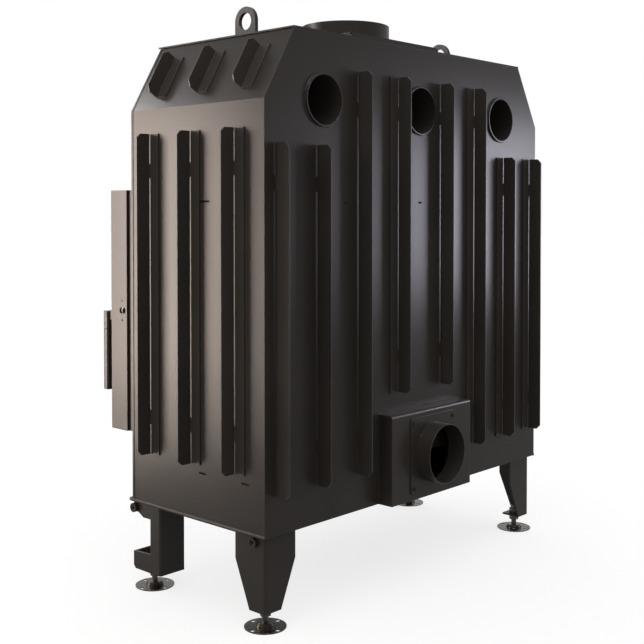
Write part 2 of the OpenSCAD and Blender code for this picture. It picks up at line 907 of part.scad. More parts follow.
// Flat strap under the base plate, from a rear leg inwards to its round end
module rear_strap() {
    r = strap_w / 2;
    y1 = rear_leg_y - leg_t;
    low = leg_top - bracket_t;
    block([strap_x + r, y1 - strap_w, low], [leg_x - leg_t, y1, leg_top]);
    translate([strap_x + r, y1 - r, low]) cylinder(r = r, h = bracket_t, $fn = 64);
}

module leg_brackets() {
    color(PAINT) on_legs() both_sides() {
        leg_bracket(rear_bolt_y - rear_bracket_half, rear_bolt_y + rear_bracket_half, rear_bracket_h,
                    rear_bolt_y, rear_bolt_z);
        leg_bracket(front_bolt_y - front_bracket_ahead, front_bolt_y + front_bracket_behind,
                    front_bracket_h, front_bolt_y, front_bolt_z);
        rear_strap();
    }
}

// Round-headed bolt through a leg and its bracket: dished head with a hexagon socket, nut inside
module leg_bolt(y, z) {
    nut_x = leg_x - leg_t - bracket_t;
    face_x = leg_x + bolt_head_h;
    translate([0, y, z]) {
        rod_x(bolt_r, nut_x - bolt_over, leg_x, 0, 0);
        difference() {
            rod_x(bolt_head_r, leg_x, face_x, 0, 0);
            rod_x(bolt_recess_r, face_x - bolt_recess, face_x + 1, 0, 0);
            translate([face_x - bolt_recess - bolt_socket, 0, 0]) rotate([0, 90, 0]) {
                cylinder(r = bolt_socket_r, h = bolt_socket + 1, $fn = 6);
            }
        }
        translate([nut_x - bolt_nut_h, 0, 0]) rotate([0, 90, 0]) {
            cylinder(r = bolt_nut_r, h = bolt_nut_h, $fn = 6);
        }
    }
}

module leg_bolts() {
    color(BLACK) on_legs() both_sides() {
        leg_bolt(rear_bolt_y, rear_bolt_z);
        leg_bolt(front_bolt_y, front_bolt_z);
    }
}

// Levelling foot: pierced disc, hub and screw
module levelling_foot() {
    difference() {
        cylinder(r = foot_r, h = foot_t, $fn = 96);
        for (a = [0:90:270]) rotate([0, 0, a]) translate([foot_hole_ring, 0, -1]) {
            cylinder(r = foot_hole_r, h = foot_t + 2, $fn = 32);
        }
    }
    cylinder(r = hub_r, h = hub_low, $fn = 64);
    cylinder(r = hub_top_r, h = hub_high, $fn = 64);
    cylinder(r = screw_r, h = screw_top, $fn = 48);
}

// Places its children on the floor under one leg; side is 1 on the right and -1 on the left
module at_foot(side, y) {
    color(ZINC) translate([side * foot_x, origin_y + y, 0]) children();
}

// Hexagon nut on a levelling screw
module lock_nut(z, high) {
    difference() {
        translate([0, 0, z]) cylinder(r = nut_af / 2 / cos(30), h = high, $fn = 6);
        translate([0, 0, z - 1]) cylinder(r = screw_r + running, h = high + 2, $fn = 48);
    }
}

// One nut below and one above each leg's bottom plate
module foot_lock_nuts() {
    for (s = [-1, 1], y = [rear_foot_y, front_foot_y]) at_foot(s, y) {
        lock_nut(leg_low - nut_h, nut_h);
        lock_nut(leg_low + leg_t, top_nut_h);
    }
}

// Rectangular ring between two places along Y
module ring_y(y0, y1, out_x, in_x, out_low, in_low, in_high, out_high) {
    difference() {
        block([-out_x, y0, out_low], [out_x, y1, out_high]);
        block([-in_x, y0 - 1, in_low], [in_x, y1 + 1, in_high]);
    }
}

module door_surround() {
    low = door_z;
    high = door_top - surround_drop;
    color(PAINT) on_legs() difference() {
        ring_y(surround_front_y, front_y, surround_x, surround_in_x,
               low, low + surround_w, high - surround_w, high);
        gasket_ring(surround_front_y - 1, surround_front_y + gasket_depth, seat);
        for (z = hinge_zs) block([-surround_x - 1, surround_front_y - 1, z - 2],
                                 [hinge_x + knuckle_r + 6, front_y + 1, z + 2 * knuckle_h + 2]);
        latch_pocket();
    }
}

// Pocket in the surround that the latch hook enters
module latch_pocket() {
    x0 = hook_x - hook_t / 2 - latch_side;
    x1 = hook_x + hook_t / 2 + latch_side;
    block([x0, surround_front_y - 1, shaft_z - hook_low - latch_below],
          [x1, front_y + 1, shaft_z + latch_above]);
}

// Rope seal's ring, with some room round it where it is the groove
module gasket_ring(y0, y1, room) {
    ring_y(y0, y1, gasket_x + gasket_w + room, gasket_x - room, gasket_low - room,
           gasket_low + gasket_w + room, gasket_high - gasket_w - room, gasket_high + room);
}

module door_gasket() {
    color(ROPE) on_legs() {
        gasket_ring(door_back_y + seat, surround_front_y + gasket_depth, 0);
    }
}

module latch_keeper() {
    x0 = hook_x - hook_t / 2 - latch_side;
    x1 = hook_x + hook_t / 2 + latch_side;
    color(ZINC) on_legs() {
        block([x0, surround_front_y, shaft_z], [x1, surround_front_y + keeper_t, shaft_z + latch_above]);
        block([x0, surround_front_y, shaft_z + keeper_t + 1], [x1, front_y, shaft_z + latch_above]);
    }
}

// Hinge knuckle with its leaf towards y1, from z0 to z1, bored for the pin
module knuckle(z0, z1, y1, bore) {
    difference() {
        union() {
            translate([hinge_x, hinge_y, z0]) cylinder(r = knuckle_r, h = z1 - z0, $fn = 48);
            block([hinge_x - knuckle_r, min(hinge_y, y1), z0],
                  [hinge_x + knuckle_r, max(hinge_y, y1), z1]);
        }
        translate([hinge_x, hinge_y, z0 - 1]) cylinder(r = bore, h = z1 - z0 + 2, $fn = 40);
    }
}

module hinge_sockets() {
    color(PAINT) on_legs() for (z = hinge_zs) knuckle(z, z + knuckle_h, front_y, pin_r);
}

module hinge_pins() {
    color(ZINC) on_legs() for (z = hinge_zs) translate([hinge_x, hinge_y, z]) {
        cylinder(r = pin_r, h = 2 * knuckle_h - 2, $fn = 40);
    }
}

module hinge_knuckles() {
    color(PAINT) on_legs() for (z = hinge_zs) {
        knuckle(z + knuckle_h + hinge_gap, z + 2 * knuckle_h + hinge_gap, door_back_y, pin_r + running);
    }
}

// Door shell: front sheet with a window, outer returns and the glass pocket's returns
module door_frame() {
    pocket_x = window_x + pocket;
    pocket_low = window_low - pocket;
    pocket_high = window_high + pocket;
    inner_y = door_front_y + door_t;
    color(PAINT) on_legs() difference() {
        block([-door_x, door_front_y, door_z], [door_x, door_back_y, door_top]);
        block([-window_x, door_front_y - 1, window_low], [window_x, door_back_y + 1, window_high]);
        block([-pocket_x, inner_y, pocket_low], [pocket_x, door_back_y + 1, pocket_high]);
        ring_y(inner_y, door_back_y + 1, door_x - door_t, pocket_x + door_t, door_z + door_t,
               pocket_low - door_t, pocket_high + door_t, door_top - door_t);
        arm_slot(door_front_y - 1, inner_y + 1);
        shaft_slot();
        rod_x(shaft_r + running, pocket_x - 1, pocket_x + door_t + 1, shaft_y, shaft_z);
        bearing_screw_holes(door_x - door_t - 1, door_x + 1);
    }
}

// Long hole in the door's edge that the shaft's end sits in
module shaft_slot() {
    x0 = door_x - door_t - 1;
    y0 = shaft_y - shaft_hole_len;
    rod_x(shaft_hole_r, x0, door_x + 1, shaft_y, shaft_z);
    rod_x(shaft_hole_r, x0, door_x + 1, y0, shaft_z);
    block([x0, y0, shaft_z - shaft_hole_r], [door_x + 1, shaft_y, shaft_z + shaft_hole_r]);
}

// Slot that the handle's arm swings in
module arm_slot(y0, y1) {
    half = arm_t / 2 + slot_room;
    block([handle_x - half, y0, shaft_z - slot_down], [handle_x + half, y1, shaft_z + slot_up]);
}

module bearing_screw_holes(x0, x1) {
    for (s = [-1, 1]) translate([0, shaft_y - bearing_screw_in, shaft_z + s * bearing_screw_up]) {
        rod_x(bearing_screw_r + running, x0, x1, 0, 0);
    }
}

module door_back_plate() {
    pocket_x = window_x + pocket;
    y0 = door_back_y - door_t;
    edge = door_t + seat;
    hook_x0 = hook_x - hook_t / 2 - 1.5;
    hook_x1 = hook_x + hook_t / 2 + 1.5;
    color(PAINT) on_legs() difference() {
        ring_y(y0, door_back_y, door_x - edge, pocket_x + edge, door_z + edge,
               window_low - pocket - edge, window_high + pocket + edge, door_top - edge);
        block([hook_x0, y0 - 1, shaft_z - hook_low - latch_below],
              [hook_x1, door_back_y + 1, shaft_z + boss_r + 2]);
        block([handle_x - arm_t / 2 - slot_room, y0 - 1, shaft_z - boss_r - 2],
              [handle_x + arm_t / 2 + slot_room, door_back_y + 1, shaft_z + boss_r + 2]);
    }
}

module door_glass() {
    color(CERAMIC, 0.4) on_legs() block(
        [-window_x - glass_lap, glass_front_y, window_low - glass_lap],
        [window_x + glass_lap, glass_front_y + glass_t, window_high + glass_lap]);
}

module glass_tape() {
    y0 = door_front_y + door_t;
    color(ROPE) on_legs() ring_y(y0, y0 + tape_t, window_x + glass_lap, window_x + 2,
        window_low - glass_lap, window_low - 2, window_high + 2, window_high + glass_lap);
}

// Bent clips that hold the glass against its tape
module glass_clips() {
    y0 = glass_front_y + glass_t;
    pocket_x = window_x + pocket;
    half = clip_w / 2;
    color(PAINT) on_legs() both_sides() for (z = [window_low + clip_end, window_high - clip_end]) {
        block([pocket_x - clip_t, y0, z - half], [pocket_x, y0 + clip_leg, z + half]);
        block([pocket_x - clip_lap, y0, z - half], [pocket_x, y0 + clip_t, z + half]);
    }
}

// Plate inside the door's edge with the shaft's outer bearing
module handle_bearing() {
    x1 = door_x - door_t;
    color(ZINC) on_legs() difference() {
        block([x1 - bearing_t, shaft_y - bearing_reach, shaft_z - bearing_half],
              [x1, door_back_y - door_t - seat, shaft_z + bearing_half]);
        rod_x(shaft_r + running, x1 - bearing_t - 1, x1 + 1, shaft_y, shaft_z);
        bearing_screw_holes(x1 - bearing_t - 1, x1 + 1);
    }
}

module bearing_screws() {
    x1 = door_x - door_t - bearing_t;
    color(BLACK) on_legs() for (s = [-1, 1]) {
        rod_x(bearing_screw_r, x1 - 2, door_x, shaft_y - bearing_screw_in, shaft_z + s * bearing_screw_up);
    }
}

// Cover round the arm's slot
module handle_plate() {
    color(PAINT) on_legs() difference() {
        block([handle_x - cover_half, door_front_y - cover_t, shaft_z - slot_down - cover_end],
              [handle_x + cover_half, door_front_y, shaft_z + slot_up + cover_end]);
        arm_slot(door_front_y - cover_t - 1, door_front_y + 1);
    }
}

module handle_shaft() {
    x0 = window_x + pocket + 0.5;
    x1 = door_x - 0.6;
    color(ZINC) on_legs() difference() {
        rod_x(shaft_r, x0, x1, shaft_y, shaft_z);
        block([x1 - 2, shaft_y - 1, shaft_z - shaft_r - 1], [x1 + 1, shaft_y + 1, shaft_z + shaft_r + 1]);
    }
}

module handle_arm() {
    x0 = handle_x - arm_t / 2;
    x1 = handle_x + arm_t / 2;
    low = head_top - arm_h;
    color(PAINT) on_legs() difference() {
        union() {
            rod_x(boss_r, x0, x1, shaft_y, shaft_z);
            plate_x(x0, x1) polygon([
                [grip_back_y, low], [shaft_y - arm_flare, low], [shaft_y, shaft_z - boss_r],
                [shaft_y, shaft_z + boss_r], [shaft_y - arm_flare, head_top], [grip_back_y, head_top]
            ]);
        }
        rod_x(shaft_r, x0 - 1, x1 + 1, shaft_y, shaft_z);
    }
}

// Upright bar with rounded long edges, centred on the handle
module bar_profile() {
    rounded_rectangle(grip_w, grip_d, 5);
}

module handle_grip() {
    color(BLACK) on_legs() translate([handle_x, grip_y, 0]) {
        translate([0, 0, head_top - head_h]) linear_extrude(head_h) bar_profile();
        translate([0, 0, head_top - head_h - grip_len]) linear_extrude(grip_len - 1) bar_profile();
        translate([0, 0, head_top - head_h - 2]) cylinder(r = 6, h = 3, $fn = 40);
    }
}

module latch_hook() {
    x0 = hook_x - hook_t / 2;
    x1 = hook_x + hook_t / 2;
    tip = shaft_y + hook_reach;
    color(ZINC) on_legs() difference() {
        union() {
            rod_x(shaft_r + 3.3, x0, x1, shaft_y, shaft_z);
            block([x0, shaft_y - 4, shaft_z - hook_low], [x1, tip, shaft_z - hook_arm_top]);
            block([x0, tip - hook_lip, shaft_z - hook_low], [x1, tip, shaft_z - keeper_gap]);
        }
        rod_x(shaft_r, x0 - 1, x1 + 1, shaft_y, shaft_z);
    }
}

module hearth_plate() {
    color(PAINT) on_legs() difference() {
        block([-inside_x + seat, inside_front + seat, hearth_low],
              [inside_x - seat, inside_back - seat, hearth_top]);
        block([-grate_w / 2 + grate_rest, -grate_d / 2 + grate_rest, hearth_low - 1],
              [grate_w / 2 - grate_rest, grate_d / 2 - grate_rest, hearth_top + 1]);
    }
}

// Bracket welded inside the side sheet, with a tab through its slot
module side_bracket(y, len, z, reach, drop) {
    half = bracket_plate / 2;
    wide = len / 2 + leaf_over;
    block([inside_x - reach, y - len / 2, z - half], [side_x - tab_recess, y + len / 2, z + half]);
    block([inside_x - bracket_plate, y - wide, z - drop], [inside_x, y + wide, z - half]);
}

// Brackets under the hearth plate and under the baffle, one of them on the back plate
module lining_brackets() {
    half = bracket_plate / 2;
    color(PAINT) on_legs() {
        both_sides() {
            for (y = [bracket_y1, bracket_y2]) {
                side_bracket(y, hearth_tab, hearth_z, hearth_reach, hearth_drop);
            }
            side_bracket(baffle_bracket_y, baffle_tab, baffle_z, baffle_reach, baffle_drop);
        }
        block([-back_bracket_w / 2, inside_back - back_bracket_d, baffle_z - half],
              [back_bracket_w / 2, inside_back, baffle_z + half]);
        block([-back_tab_w / 2, inside_back, baffle_z - half],
              [back_tab_w / 2, back_y - tab_recess, baffle_z + half]);
    }
}

// Hearth bricks on both sides, in front of and behind the grate
module floor_lining() {
    x1 = inside_x - seat - brick_t - brick_gap;
    y0 = inside_front + seat;
    y1 = inside_back - seat - brick_t - brick_gap;
    gx = grate_w / 2 + brick_gap;
    gy = grate_d / 2 + brick_gap;
    color(BRICK) on_legs() {
        both_sides() block([gx, y0, lining_low], [x1, y1, floor_top]);
        block([-gx + brick_gap, y0, lining_low], [gx - brick_gap, -gy, floor_top]);
        block([-gx + brick_gap, gy, lining_low], [gx - brick_gap, y1, floor_top]);
    }
}

// Two upright bricks on each side
module side_lining() {
    x1 = inside_x - seat;
    y0 = inside_front + seat;
    y1 = inside_back - seat - brick_t - brick_gap;
    mid = (y0 + y1) / 2;
    color(BRICK) on_legs() both_sides() {
        block([x1 - brick_t, y0, lining_low], [x1, mid - brick_gap / 2, lining_low + brick_h]);
        block([x1 - brick_t, mid + brick_gap / 2, lining_low], [x1, y1, lining_low + brick_h]);
    }
}

// Four upright bricks along the back
module back_lining() {
    y1 = inside_back - seat;
    w = 2 * (inside_x - seat) / 4;
    color(BRICK) on_legs() for (i = [0:3]) translate([-inside_x + seat + i * w, 0, 0]) {
        block([brick_gap / 2, y1 - brick_t, lining_low], [w - brick_gap / 2, y1, lining_low + brick_h]);
    }
}

module grate() {
    gx = grate_w / 2 - 1;
    gy = grate_d / 2 - 1;
    bar_y = gy - grate_rest - 2;
    color(CAST) on_legs() difference() {
        block([-gx, -gy, hearth_top + seat], [gx, gy, floor_top]);
        block([-gx + grate_rest, -gy + grate_rest, hearth_top - 1],
              [gx - grate_rest, gy - grate_rest, floor_top - grate_bar_h]);
        for (x = [-gx + grate_pitch:grate_pitch:gx - grate_pitch]) {
            block([x - grate_gap / 2, -bar_y, hearth_top], [x + grate_gap / 2, bar_y, floor_top + 1]);
        }
    }
}

// Two insulating slabs that turn the smoke towards the front
module baffle() {
    x1 = inside_x - 2;
    y1 = inside_back - seat;
    low = baffle_z + 1.5 + seat;
    color(BRICK) on_legs() both_sides() {
        block([0.5, y1 - baffle_d, low], [x1, y1, low + baffle_t]);
    }
}

module drawer_rails() {
    x1 = drawer_w / 2 + drawer_room;
    y1 = front_y + drawer_d + rail_over;
    low = drawer_z - seat;
    color(PAINT) on_legs() both_sides() {
        block([x1 - rail_w, inside_front, low - rail_t], [x1 + rail_t, y1, low]);
        block([x1, inside_front, base_top], [x1 + rail_t, y1, low + rail_h]);
    }
}

// Drawer with its own front plate and a bent pull
module ash_drawer() {
    half = drawer_w / 2;
    y0 = front_y - seat;
    y1 = front_y + drawer_d;
    high = drawer_z + drawer_h;
    lap = drawer_front_lap;
    pull_z = drawer_z + drawer_h / 2 + pull_up;
    face_y = y0 - drawer_front_t;
    color(PAINT) on_legs() {
        difference() {
            block([-half, y0, drawer_z], [half, y1, high]);
            block([-half + drawer_t, y0 + drawer_t, drawer_z + drawer_t],
                  [half - drawer_t, y1 - drawer_t, high + 1]);
        }
        block([-half - lap, face_y, drawer_z - drawer_front_drop], [half + lap, y0, high + lap]);
        block([-pull_w / 2, face_y - pull_reach, pull_z], [pull_w / 2, face_y, pull_z + pull_t]);
        block([-pull_w / 2, face_y - pull_reach, pull_z - pull_drop],
              [pull_w / 2, face_y - pull_reach + pull_t, pull_z + pull_t]);
    }
}

// Centres of the air ports along X, counted from the slide's middle
AIR_PORTS = [-60, 0, 60];

module air_port_plate() {
    y0 = inside_front + air_port_in;
    y1 = y0 + air_sheet_t;
    half = (air_plate_w + air_travel) / 2 + air_plate_end;
    h = air_plate_h / 2;
    color(PAINT) on_legs() difference() {
        union() {
            block([air_x - half, y0, air_z - h], [air_x + half, y1, air_z + h]);
            for (z = [air_z - h - air_sheet_t, air_z + h]) {
                block([air_x - half, inside_front, z], [air_x + half, y1, z + air_sheet_t]);
            }
        }
        for (x = AIR_PORTS) rod_y(air_hole_r, y0 - 1, y1 + 1, air_x + x, air_z);
    }
}

// Sliding shutter with its pin and knob
module air_slide() {
    y0 = inside_front + air_slide_in;
    y1 = y0 + air_sheet_t;
    knob_y = front_y - knob_out;
    h = air_plate_h / 2 - seat;
    half = air_plate_w / 2;
    color(ZINC) on_legs() translate([-air_travel / 2, 0, 0]) {
        difference() {
            block([air_x - half, y0, air_z - h], [air_x + half, y1, air_z + h]);
            for (x = AIR_PORTS) rod_y(air_hole_r, y0 - 1, y1 + 1, air_x + x - air_travel / 2, air_z);
        }
        rod_y(air_pin_r, knob_y + 1, y0, air_x, air_z);
        rod_y(knob_r, knob_y, knob_y + knob_len, air_x, air_z);
    }
}

back_panel();
front_panel();
side_panel_right();
side_panel_left();
roof_plate();
base_plate();
flue_base_box();
flue_collar();
lifting_lugs();
convection_tube(tube_x);  // convection_tube_right
convection_tube(0);  // convection_tube_middle
convection_tube(-tube_x);  // convection_tube_left
air_inlet_box();
air_spigot();
spigot_screws();
back_fins_right();
back_fins_left();
side_fins_right();
side_fins_left();
shoulder_fins();
rear_leg_right();
rear_leg_left();
front_leg_right();
front_leg_left();
leg_brackets();
leg_bolts();
at_foot(1, rear_foot_y) levelling_foot();  // foot_rear_right
at_foot(-1, rear_foot_y) levelling_foot();  // foot_rear_left
at_foot(1, front_foot_y) levelling_foot();  // foot_front_right
at_foot(-1, front_foot_y) levelling_foot();  // foot_front_left
foot_lock_nuts();
door_surround();
door_gasket();
hinge_sockets();
hinge_pins();
latch_keeper();
door_frame();
door_back_plate();
door_glass();
glass_tape();
glass_clips();
hinge_knuckles();
handle_bearing();
bearing_screws();
handle_plate();
handle_shaft();
handle_arm();
handle_grip();
latch_hook();
hearth_plate();
lining_brackets();
floor_lining();
side_lining();
back_lining();
grate();
baffle();
drawer_rails();
ash_drawer();
air_port_plate();
air_slide();
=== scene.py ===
"""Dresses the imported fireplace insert: finishes, weld beads, the rope seal and the studio."""

import math

import bpy
from mathutils import Euler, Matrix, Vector


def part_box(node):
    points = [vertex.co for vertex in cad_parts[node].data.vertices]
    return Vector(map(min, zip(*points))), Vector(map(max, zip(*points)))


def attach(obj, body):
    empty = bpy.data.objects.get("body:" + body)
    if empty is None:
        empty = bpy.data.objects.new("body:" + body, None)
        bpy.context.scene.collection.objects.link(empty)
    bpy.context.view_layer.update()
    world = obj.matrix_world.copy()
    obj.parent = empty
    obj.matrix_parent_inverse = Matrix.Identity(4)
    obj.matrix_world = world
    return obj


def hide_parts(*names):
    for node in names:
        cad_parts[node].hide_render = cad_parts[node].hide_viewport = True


bl_info = {
    "name": "Fireplace insert",
    "version": (1, 0, 0),
    "blender": (4, 5, 0),
    "location": "3D View > Sidebar > Insert",
    "description": "Finishes, weld beads, rope seal and studio of a steel fireplace insert",
    "category": "Object",
}

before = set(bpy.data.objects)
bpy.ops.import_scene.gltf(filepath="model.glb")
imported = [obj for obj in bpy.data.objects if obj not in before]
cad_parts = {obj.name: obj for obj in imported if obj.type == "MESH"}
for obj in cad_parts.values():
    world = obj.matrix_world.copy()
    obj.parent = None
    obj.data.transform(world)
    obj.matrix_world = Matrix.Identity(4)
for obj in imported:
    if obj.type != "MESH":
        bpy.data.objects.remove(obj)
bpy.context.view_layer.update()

# Nodes of the frame by the finish that they wear; all others wear the satin paint
GRIP_NODES = ["handle_grip"]
ROLLED_NODES = ["base_plate"]
FIN_NODES = ["back_fins_right", "back_fins_left", "side_fins_right", "side_fins_left", "shoulder_fins"]
BENT_NODES = ["air_inlet_box"]
ZINC_NODES = [
    "foot_rear_right", "foot_rear_left", "foot_front_right", "foot_front_left", "foot_lock_nuts",
    "hinge_pins", "latch_keeper", "handle_bearing", "latch_hook", "air_slide",
]
BLACK_NODES = ["spigot_screws", "leg_bolts"]
# Small parts in holes and slots that wear a matt near-black: painted shade
SHADED_NODES = ["lining_brackets", "bearing_screws", "handle_shaft"]
LINING_NODES = ["floor_lining", "side_lining", "back_lining", "baffle"]
ROPE_NODES = ["door_gasket", "glass_tape"]
IRON_NODES = ["grate"]
GLASS_NODES = ["door_glass"]

# Tints that a finish shows in places
DUST = (0.20, 0.19, 0.18, 1)
BARE_OXIDE = (0.06, 0.058, 0.055, 1)
BARE_BOARD = (0.70, 0.60, 0.45, 1)
BARE_IRON = (0.10, 0.10, 0.10, 1)
SOOT = (0.05, 0.048, 0.045, 1)
GLASS_TINTS = (0.86, 0.82, 0.76, 1), (0.92, 0.89, 0.84, 1)

# Roughness of each finish where its noise is lowest and highest
ZINC_ROUGHNESS = 0.22, 0.34
OXIDE_ROUGHNESS = 0.45, 0.60
SHADE_BLACK_ROUGHNESS = 0.85, 0.95
BOARD_ROUGHNESS = 0.95, 0.75
IRON_ROUGHNESS = 0.55, 0.80
ROPE_ROUGHNESS = 0.80, 0.95
GLASS_ROUGHNESS = 0.03, 0.09

# Specular levels of the dull finishes, and the glass's index of refraction
PAINT_SPECULAR = 0.07
OXIDE_SPECULAR = 0.06
SHADE_BLACK_SPECULAR = 0.02
GLASS_IOR = 1.52

# The range that most of a noise texture's values fall in
NOISE_LOW, NOISE_HIGH = 0.3, 0.7

# Thickness of a lifting lug, and the share of its groove's depth that the rope fills
LUG_THICKNESS = 0.008
ROPE_FILL = 0.98

# Colours of the lamps
WARM = (1.0, 0.85, 0.75)
COOL = (0.88, 0.86, 1.0)
PLAIN = (1.0, 0.97, 0.98)

# Points on the floor that the lamps stand round, and the height above which they are tipped down
SIDE = (0.46, 0.0)
BACK = (0.0, 0.2)
WHOLE = (0.0, 0.0)
AIM_HEIGHT = 0.9

# Lamps: name, point that it stands round, degrees from +X, distance, height, width and height of the panel, colour
SHEENS = [
    ("side_sheen", SIDE, -53, 1.4, 0.68, (0.46, 0.98), WARM),
    ("low_sheen", SIDE, -53, 1.4, 0.08, (0.46, 0.14), WARM),
    ("slope_sheen", SIDE, -65, 1.4, 1.68, (0.50, 0.34), PLAIN),
    ("back_sheen", BACK, 149, 1.7, 0.79, (0.50, 0.60), COOL),
    ("roof_sheen", WHOLE, 45, 1.2, 2.80, (1.2, 1.2), PLAIN),
]
LIGHTS = [("fin_light", WHOLE, 6, 2.6, 1.0, (1.2, 1.0), WARM)]

# The floor reaches this far each way; its grey takes the shadow and its glow brings it up to white
FLOOR_REACH = 30.0
FLOOR_GREY = (0.30, 0.30, 0.30, 1)
FLOOR_GLOW = 0.73
WHITE = (1, 1, 1, 1)

# The photograph's camera, with its tilt and turn in degrees
CAMERA_PLACE = (1.79194, 1.58636, 0.77235)
CAMERA_TILT = 88.64238
CAMERA_TURN = 132.72817
CAMERA_SHIFT = -0.13
SENSOR_WIDTH = 36.0

X, Y, Z = Vector((1, 0, 0)), Vector((0, 1, 0)), Vector((0, 0, 1))


# ---------------------------------------------------------------- sizes and colours

class InsertFinish(bpy.types.PropertyGroup):
    """Colours and gloss of the insert's finishes."""

    paint: bpy.props.FloatVectorProperty(
        name="Paint", description="Colour of the heat-resistant paint", subtype="COLOR",
        size=4, min=0, max=1, default=(0.0262, 0.0226, 0.0197, 1))
    paint_worn: bpy.props.FloatVectorProperty(
        name="Paint on edges", description="Colour of the paint where it is thin, along cut edges", subtype="COLOR",
        size=4, min=0, max=1, default=(0.075, 0.069, 0.064, 1))
    zinc: bpy.props.FloatVectorProperty(
        name="Zinc", description="Colour of the plated feet and fittings", subtype="COLOR",
        size=4, min=0, max=1, default=(0.056, 0.050, 0.045, 1))
    oxide: bpy.props.FloatVectorProperty(
        name="Black oxide", description="Colour of the black screws and bolts", subtype="COLOR",
        size=4, min=0, max=1, default=(0.012, 0.0115, 0.011, 1))
    board: bpy.props.FloatVectorProperty(
        name="Lining board", description="Colour of the insulating boards", subtype="COLOR",
        size=4, min=0, max=1, default=(0.56, 0.44, 0.29, 1))
    rope: bpy.props.FloatVectorProperty(
        name="Rope", description="Colour of the rope seal", subtype="COLOR",
        size=4, min=0, max=1, default=(0.23, 0.22, 0.20, 1))
    iron: bpy.props.FloatVectorProperty(
        name="Cast iron", description="Colour of the grate", subtype="COLOR",
        size=4, min=0, max=1, default=(0.035, 0.034, 0.033, 1))
    paint_gloss: bpy.props.FloatProperty(
        name="Paint roughness", description="Roughness of the satin paint", min=0, max=1, default=0.30)
    edge_width: bpy.props.FloatProperty(
        name="Edge rounding", description="Radius that the paint rounds a cut edge to", unit="LENGTH",
        min=0, max=0.003, default=0.0007)
    grain: bpy.props.FloatProperty(
        name="Grain height", description="Height of the paint's grain", unit="LENGTH",
        min=0, max=0.001, default=0.000014)


class InsertWelds(bpy.types.PropertyGroup):
    """Sizes of the weld beads."""

    radius: bpy.props.FloatProperty(
        name="Bead radius", description="Radius of a weld bead", unit="LENGTH", min=0, max=0.005, default=0.0012)
    pitch: bpy.props.FloatProperty(
        name="Ripple pitch", description="Distance between a bead's ripples", unit="LENGTH",
        min=0.0005, max=0.01, default=0.0030)
    ripple: bpy.props.FloatProperty(
        name="Ripple", description="Share of the radius that the ripples take", min=0, max=0.5, default=0.16)


class InsertRope(bpy.types.PropertyGroup):
    """Sizes of the rope seal."""

    groove: bpy.props.FloatProperty(
        name="Groove width", description="Width of the groove that the rope lies in", unit="LENGTH",
        min=0.004, max=0.02, default=0.010)
    corner: bpy.props.FloatProperty(
        name="Corner", description="Radius that the rope turns a corner with", unit="LENGTH",
        min=0.001, max=0.05, default=0.008)
    lay: bpy.props.FloatProperty(
        name="Lay", description="Length in which the strands turn once", unit="LENGTH",
        min=0.005, max=0.1, default=0.030)
    depth: bpy.props.FloatProperty(
        name="Strand depth", description="Share of the radius between two strands", min=0, max=0.5, default=0.16)


class InsertStudio(bpy.types.PropertyGroup):
    """Camera and lamps."""

    lens: bpy.props.FloatProperty(
        name="Lens", description="Focal length of the camera in millimetres", min=20, max=200, default=59.0796)
    side_sheen: bpy.props.FloatProperty(
        name="Side sheen", description="Power of the warm panel that the side wall mirrors", subtype="POWER",
        min=0, max=500, default=68)
    low_sheen: bpy.props.FloatProperty(
        name="Low sheen", description="Power of the warm panel that the foot of the side wall mirrors",
        subtype="POWER", min=0, max=500, default=7)
    slope_sheen: bpy.props.FloatProperty(
        name="Slope sheen", description="Power of the neutral panel that the slope mirrors", subtype="POWER",
        min=0, max=500, default=38)
    back_sheen: bpy.props.FloatProperty(
        name="Back sheen", description="Power of the cool panel that the back wall mirrors", subtype="POWER",
        min=0, max=500, default=31)
    roof_sheen: bpy.props.FloatProperty(
        name="Roof sheen", description="Power of the panel above that the roof mirrors", subtype="POWER",
        min=0, max=2000, default=260)
    fin_light: bpy.props.FloatProperty(
        name="Fin light", description="Power of the soft lamp beside the handle that grazes the back wall",
        subtype="POWER", min=0, max=2000, default=12)
    fill: bpy.props.FloatProperty(
        name="Fill", description="Strength of the even light from all round", min=0, max=2, default=1.00)


# ---------------------------------------------------------------- node helpers

def add(tree, kind, inputs=None, **settings):
    """Adds a node, sets its properties, and sets or links each of the named or numbered inputs."""
    made = tree.nodes.new(kind)
    for name, value in settings.items():
        setattr(made, name, value)
    for key, value in (inputs or {}).items():
        if isinstance(value, bpy.types.NodeSocket):
            tree.links.new(value, made.inputs[key])
        else:
            made.inputs[key].default_value = value
    return made


def maths(tree, operation, a, b=0.0):
    """Output of a Math node."""
    return add(tree, "ShaderNodeMath", {0: a, 1: b}, operation=operation).outputs[0]


def blend_colours(tree, factor, a, b):
    """Output of a colour mix between a and b."""
    return add(tree, "ShaderNodeMix", {0: factor, 6: a, 7: b}, data_type="RGBA").outputs[2]


def spread(tree, value, low, high):
    """Maps a noise onto the range low to high."""
    return add(tree, "ShaderNodeMapRange", {
        "Value": value, "From Min": NOISE_LOW, "From Max": NOISE_HIGH, "To Min": low, "To Max": high}).outputs[0]


def bump(tree, height, distance, normal=None, strength=1.0):
    """Output of a Bump node whose full height is distance, in metres."""
    inputs = {"Height": height, "Distance": distance, "Strength": strength}
    if normal is not None:
        inputs["Normal"] = normal
    return add(tree, "ShaderNodeBump", inputs).outputs[0]


def tinted(colour, share):
    """The colour with its channels multiplied by share, which is one number or one for each channel."""
    shares = share if isinstance(share, tuple) else (share,) * 3
    return tuple(min(1, channel * part) for channel, part in zip(colour[:3], shares)) + (1,)


def object_place(tree):
    """Output of the object coordinates."""
    return add(tree, "ShaderNodeTexCoord").outputs["Object"]


# ---------------------------------------------------------------- shared effects

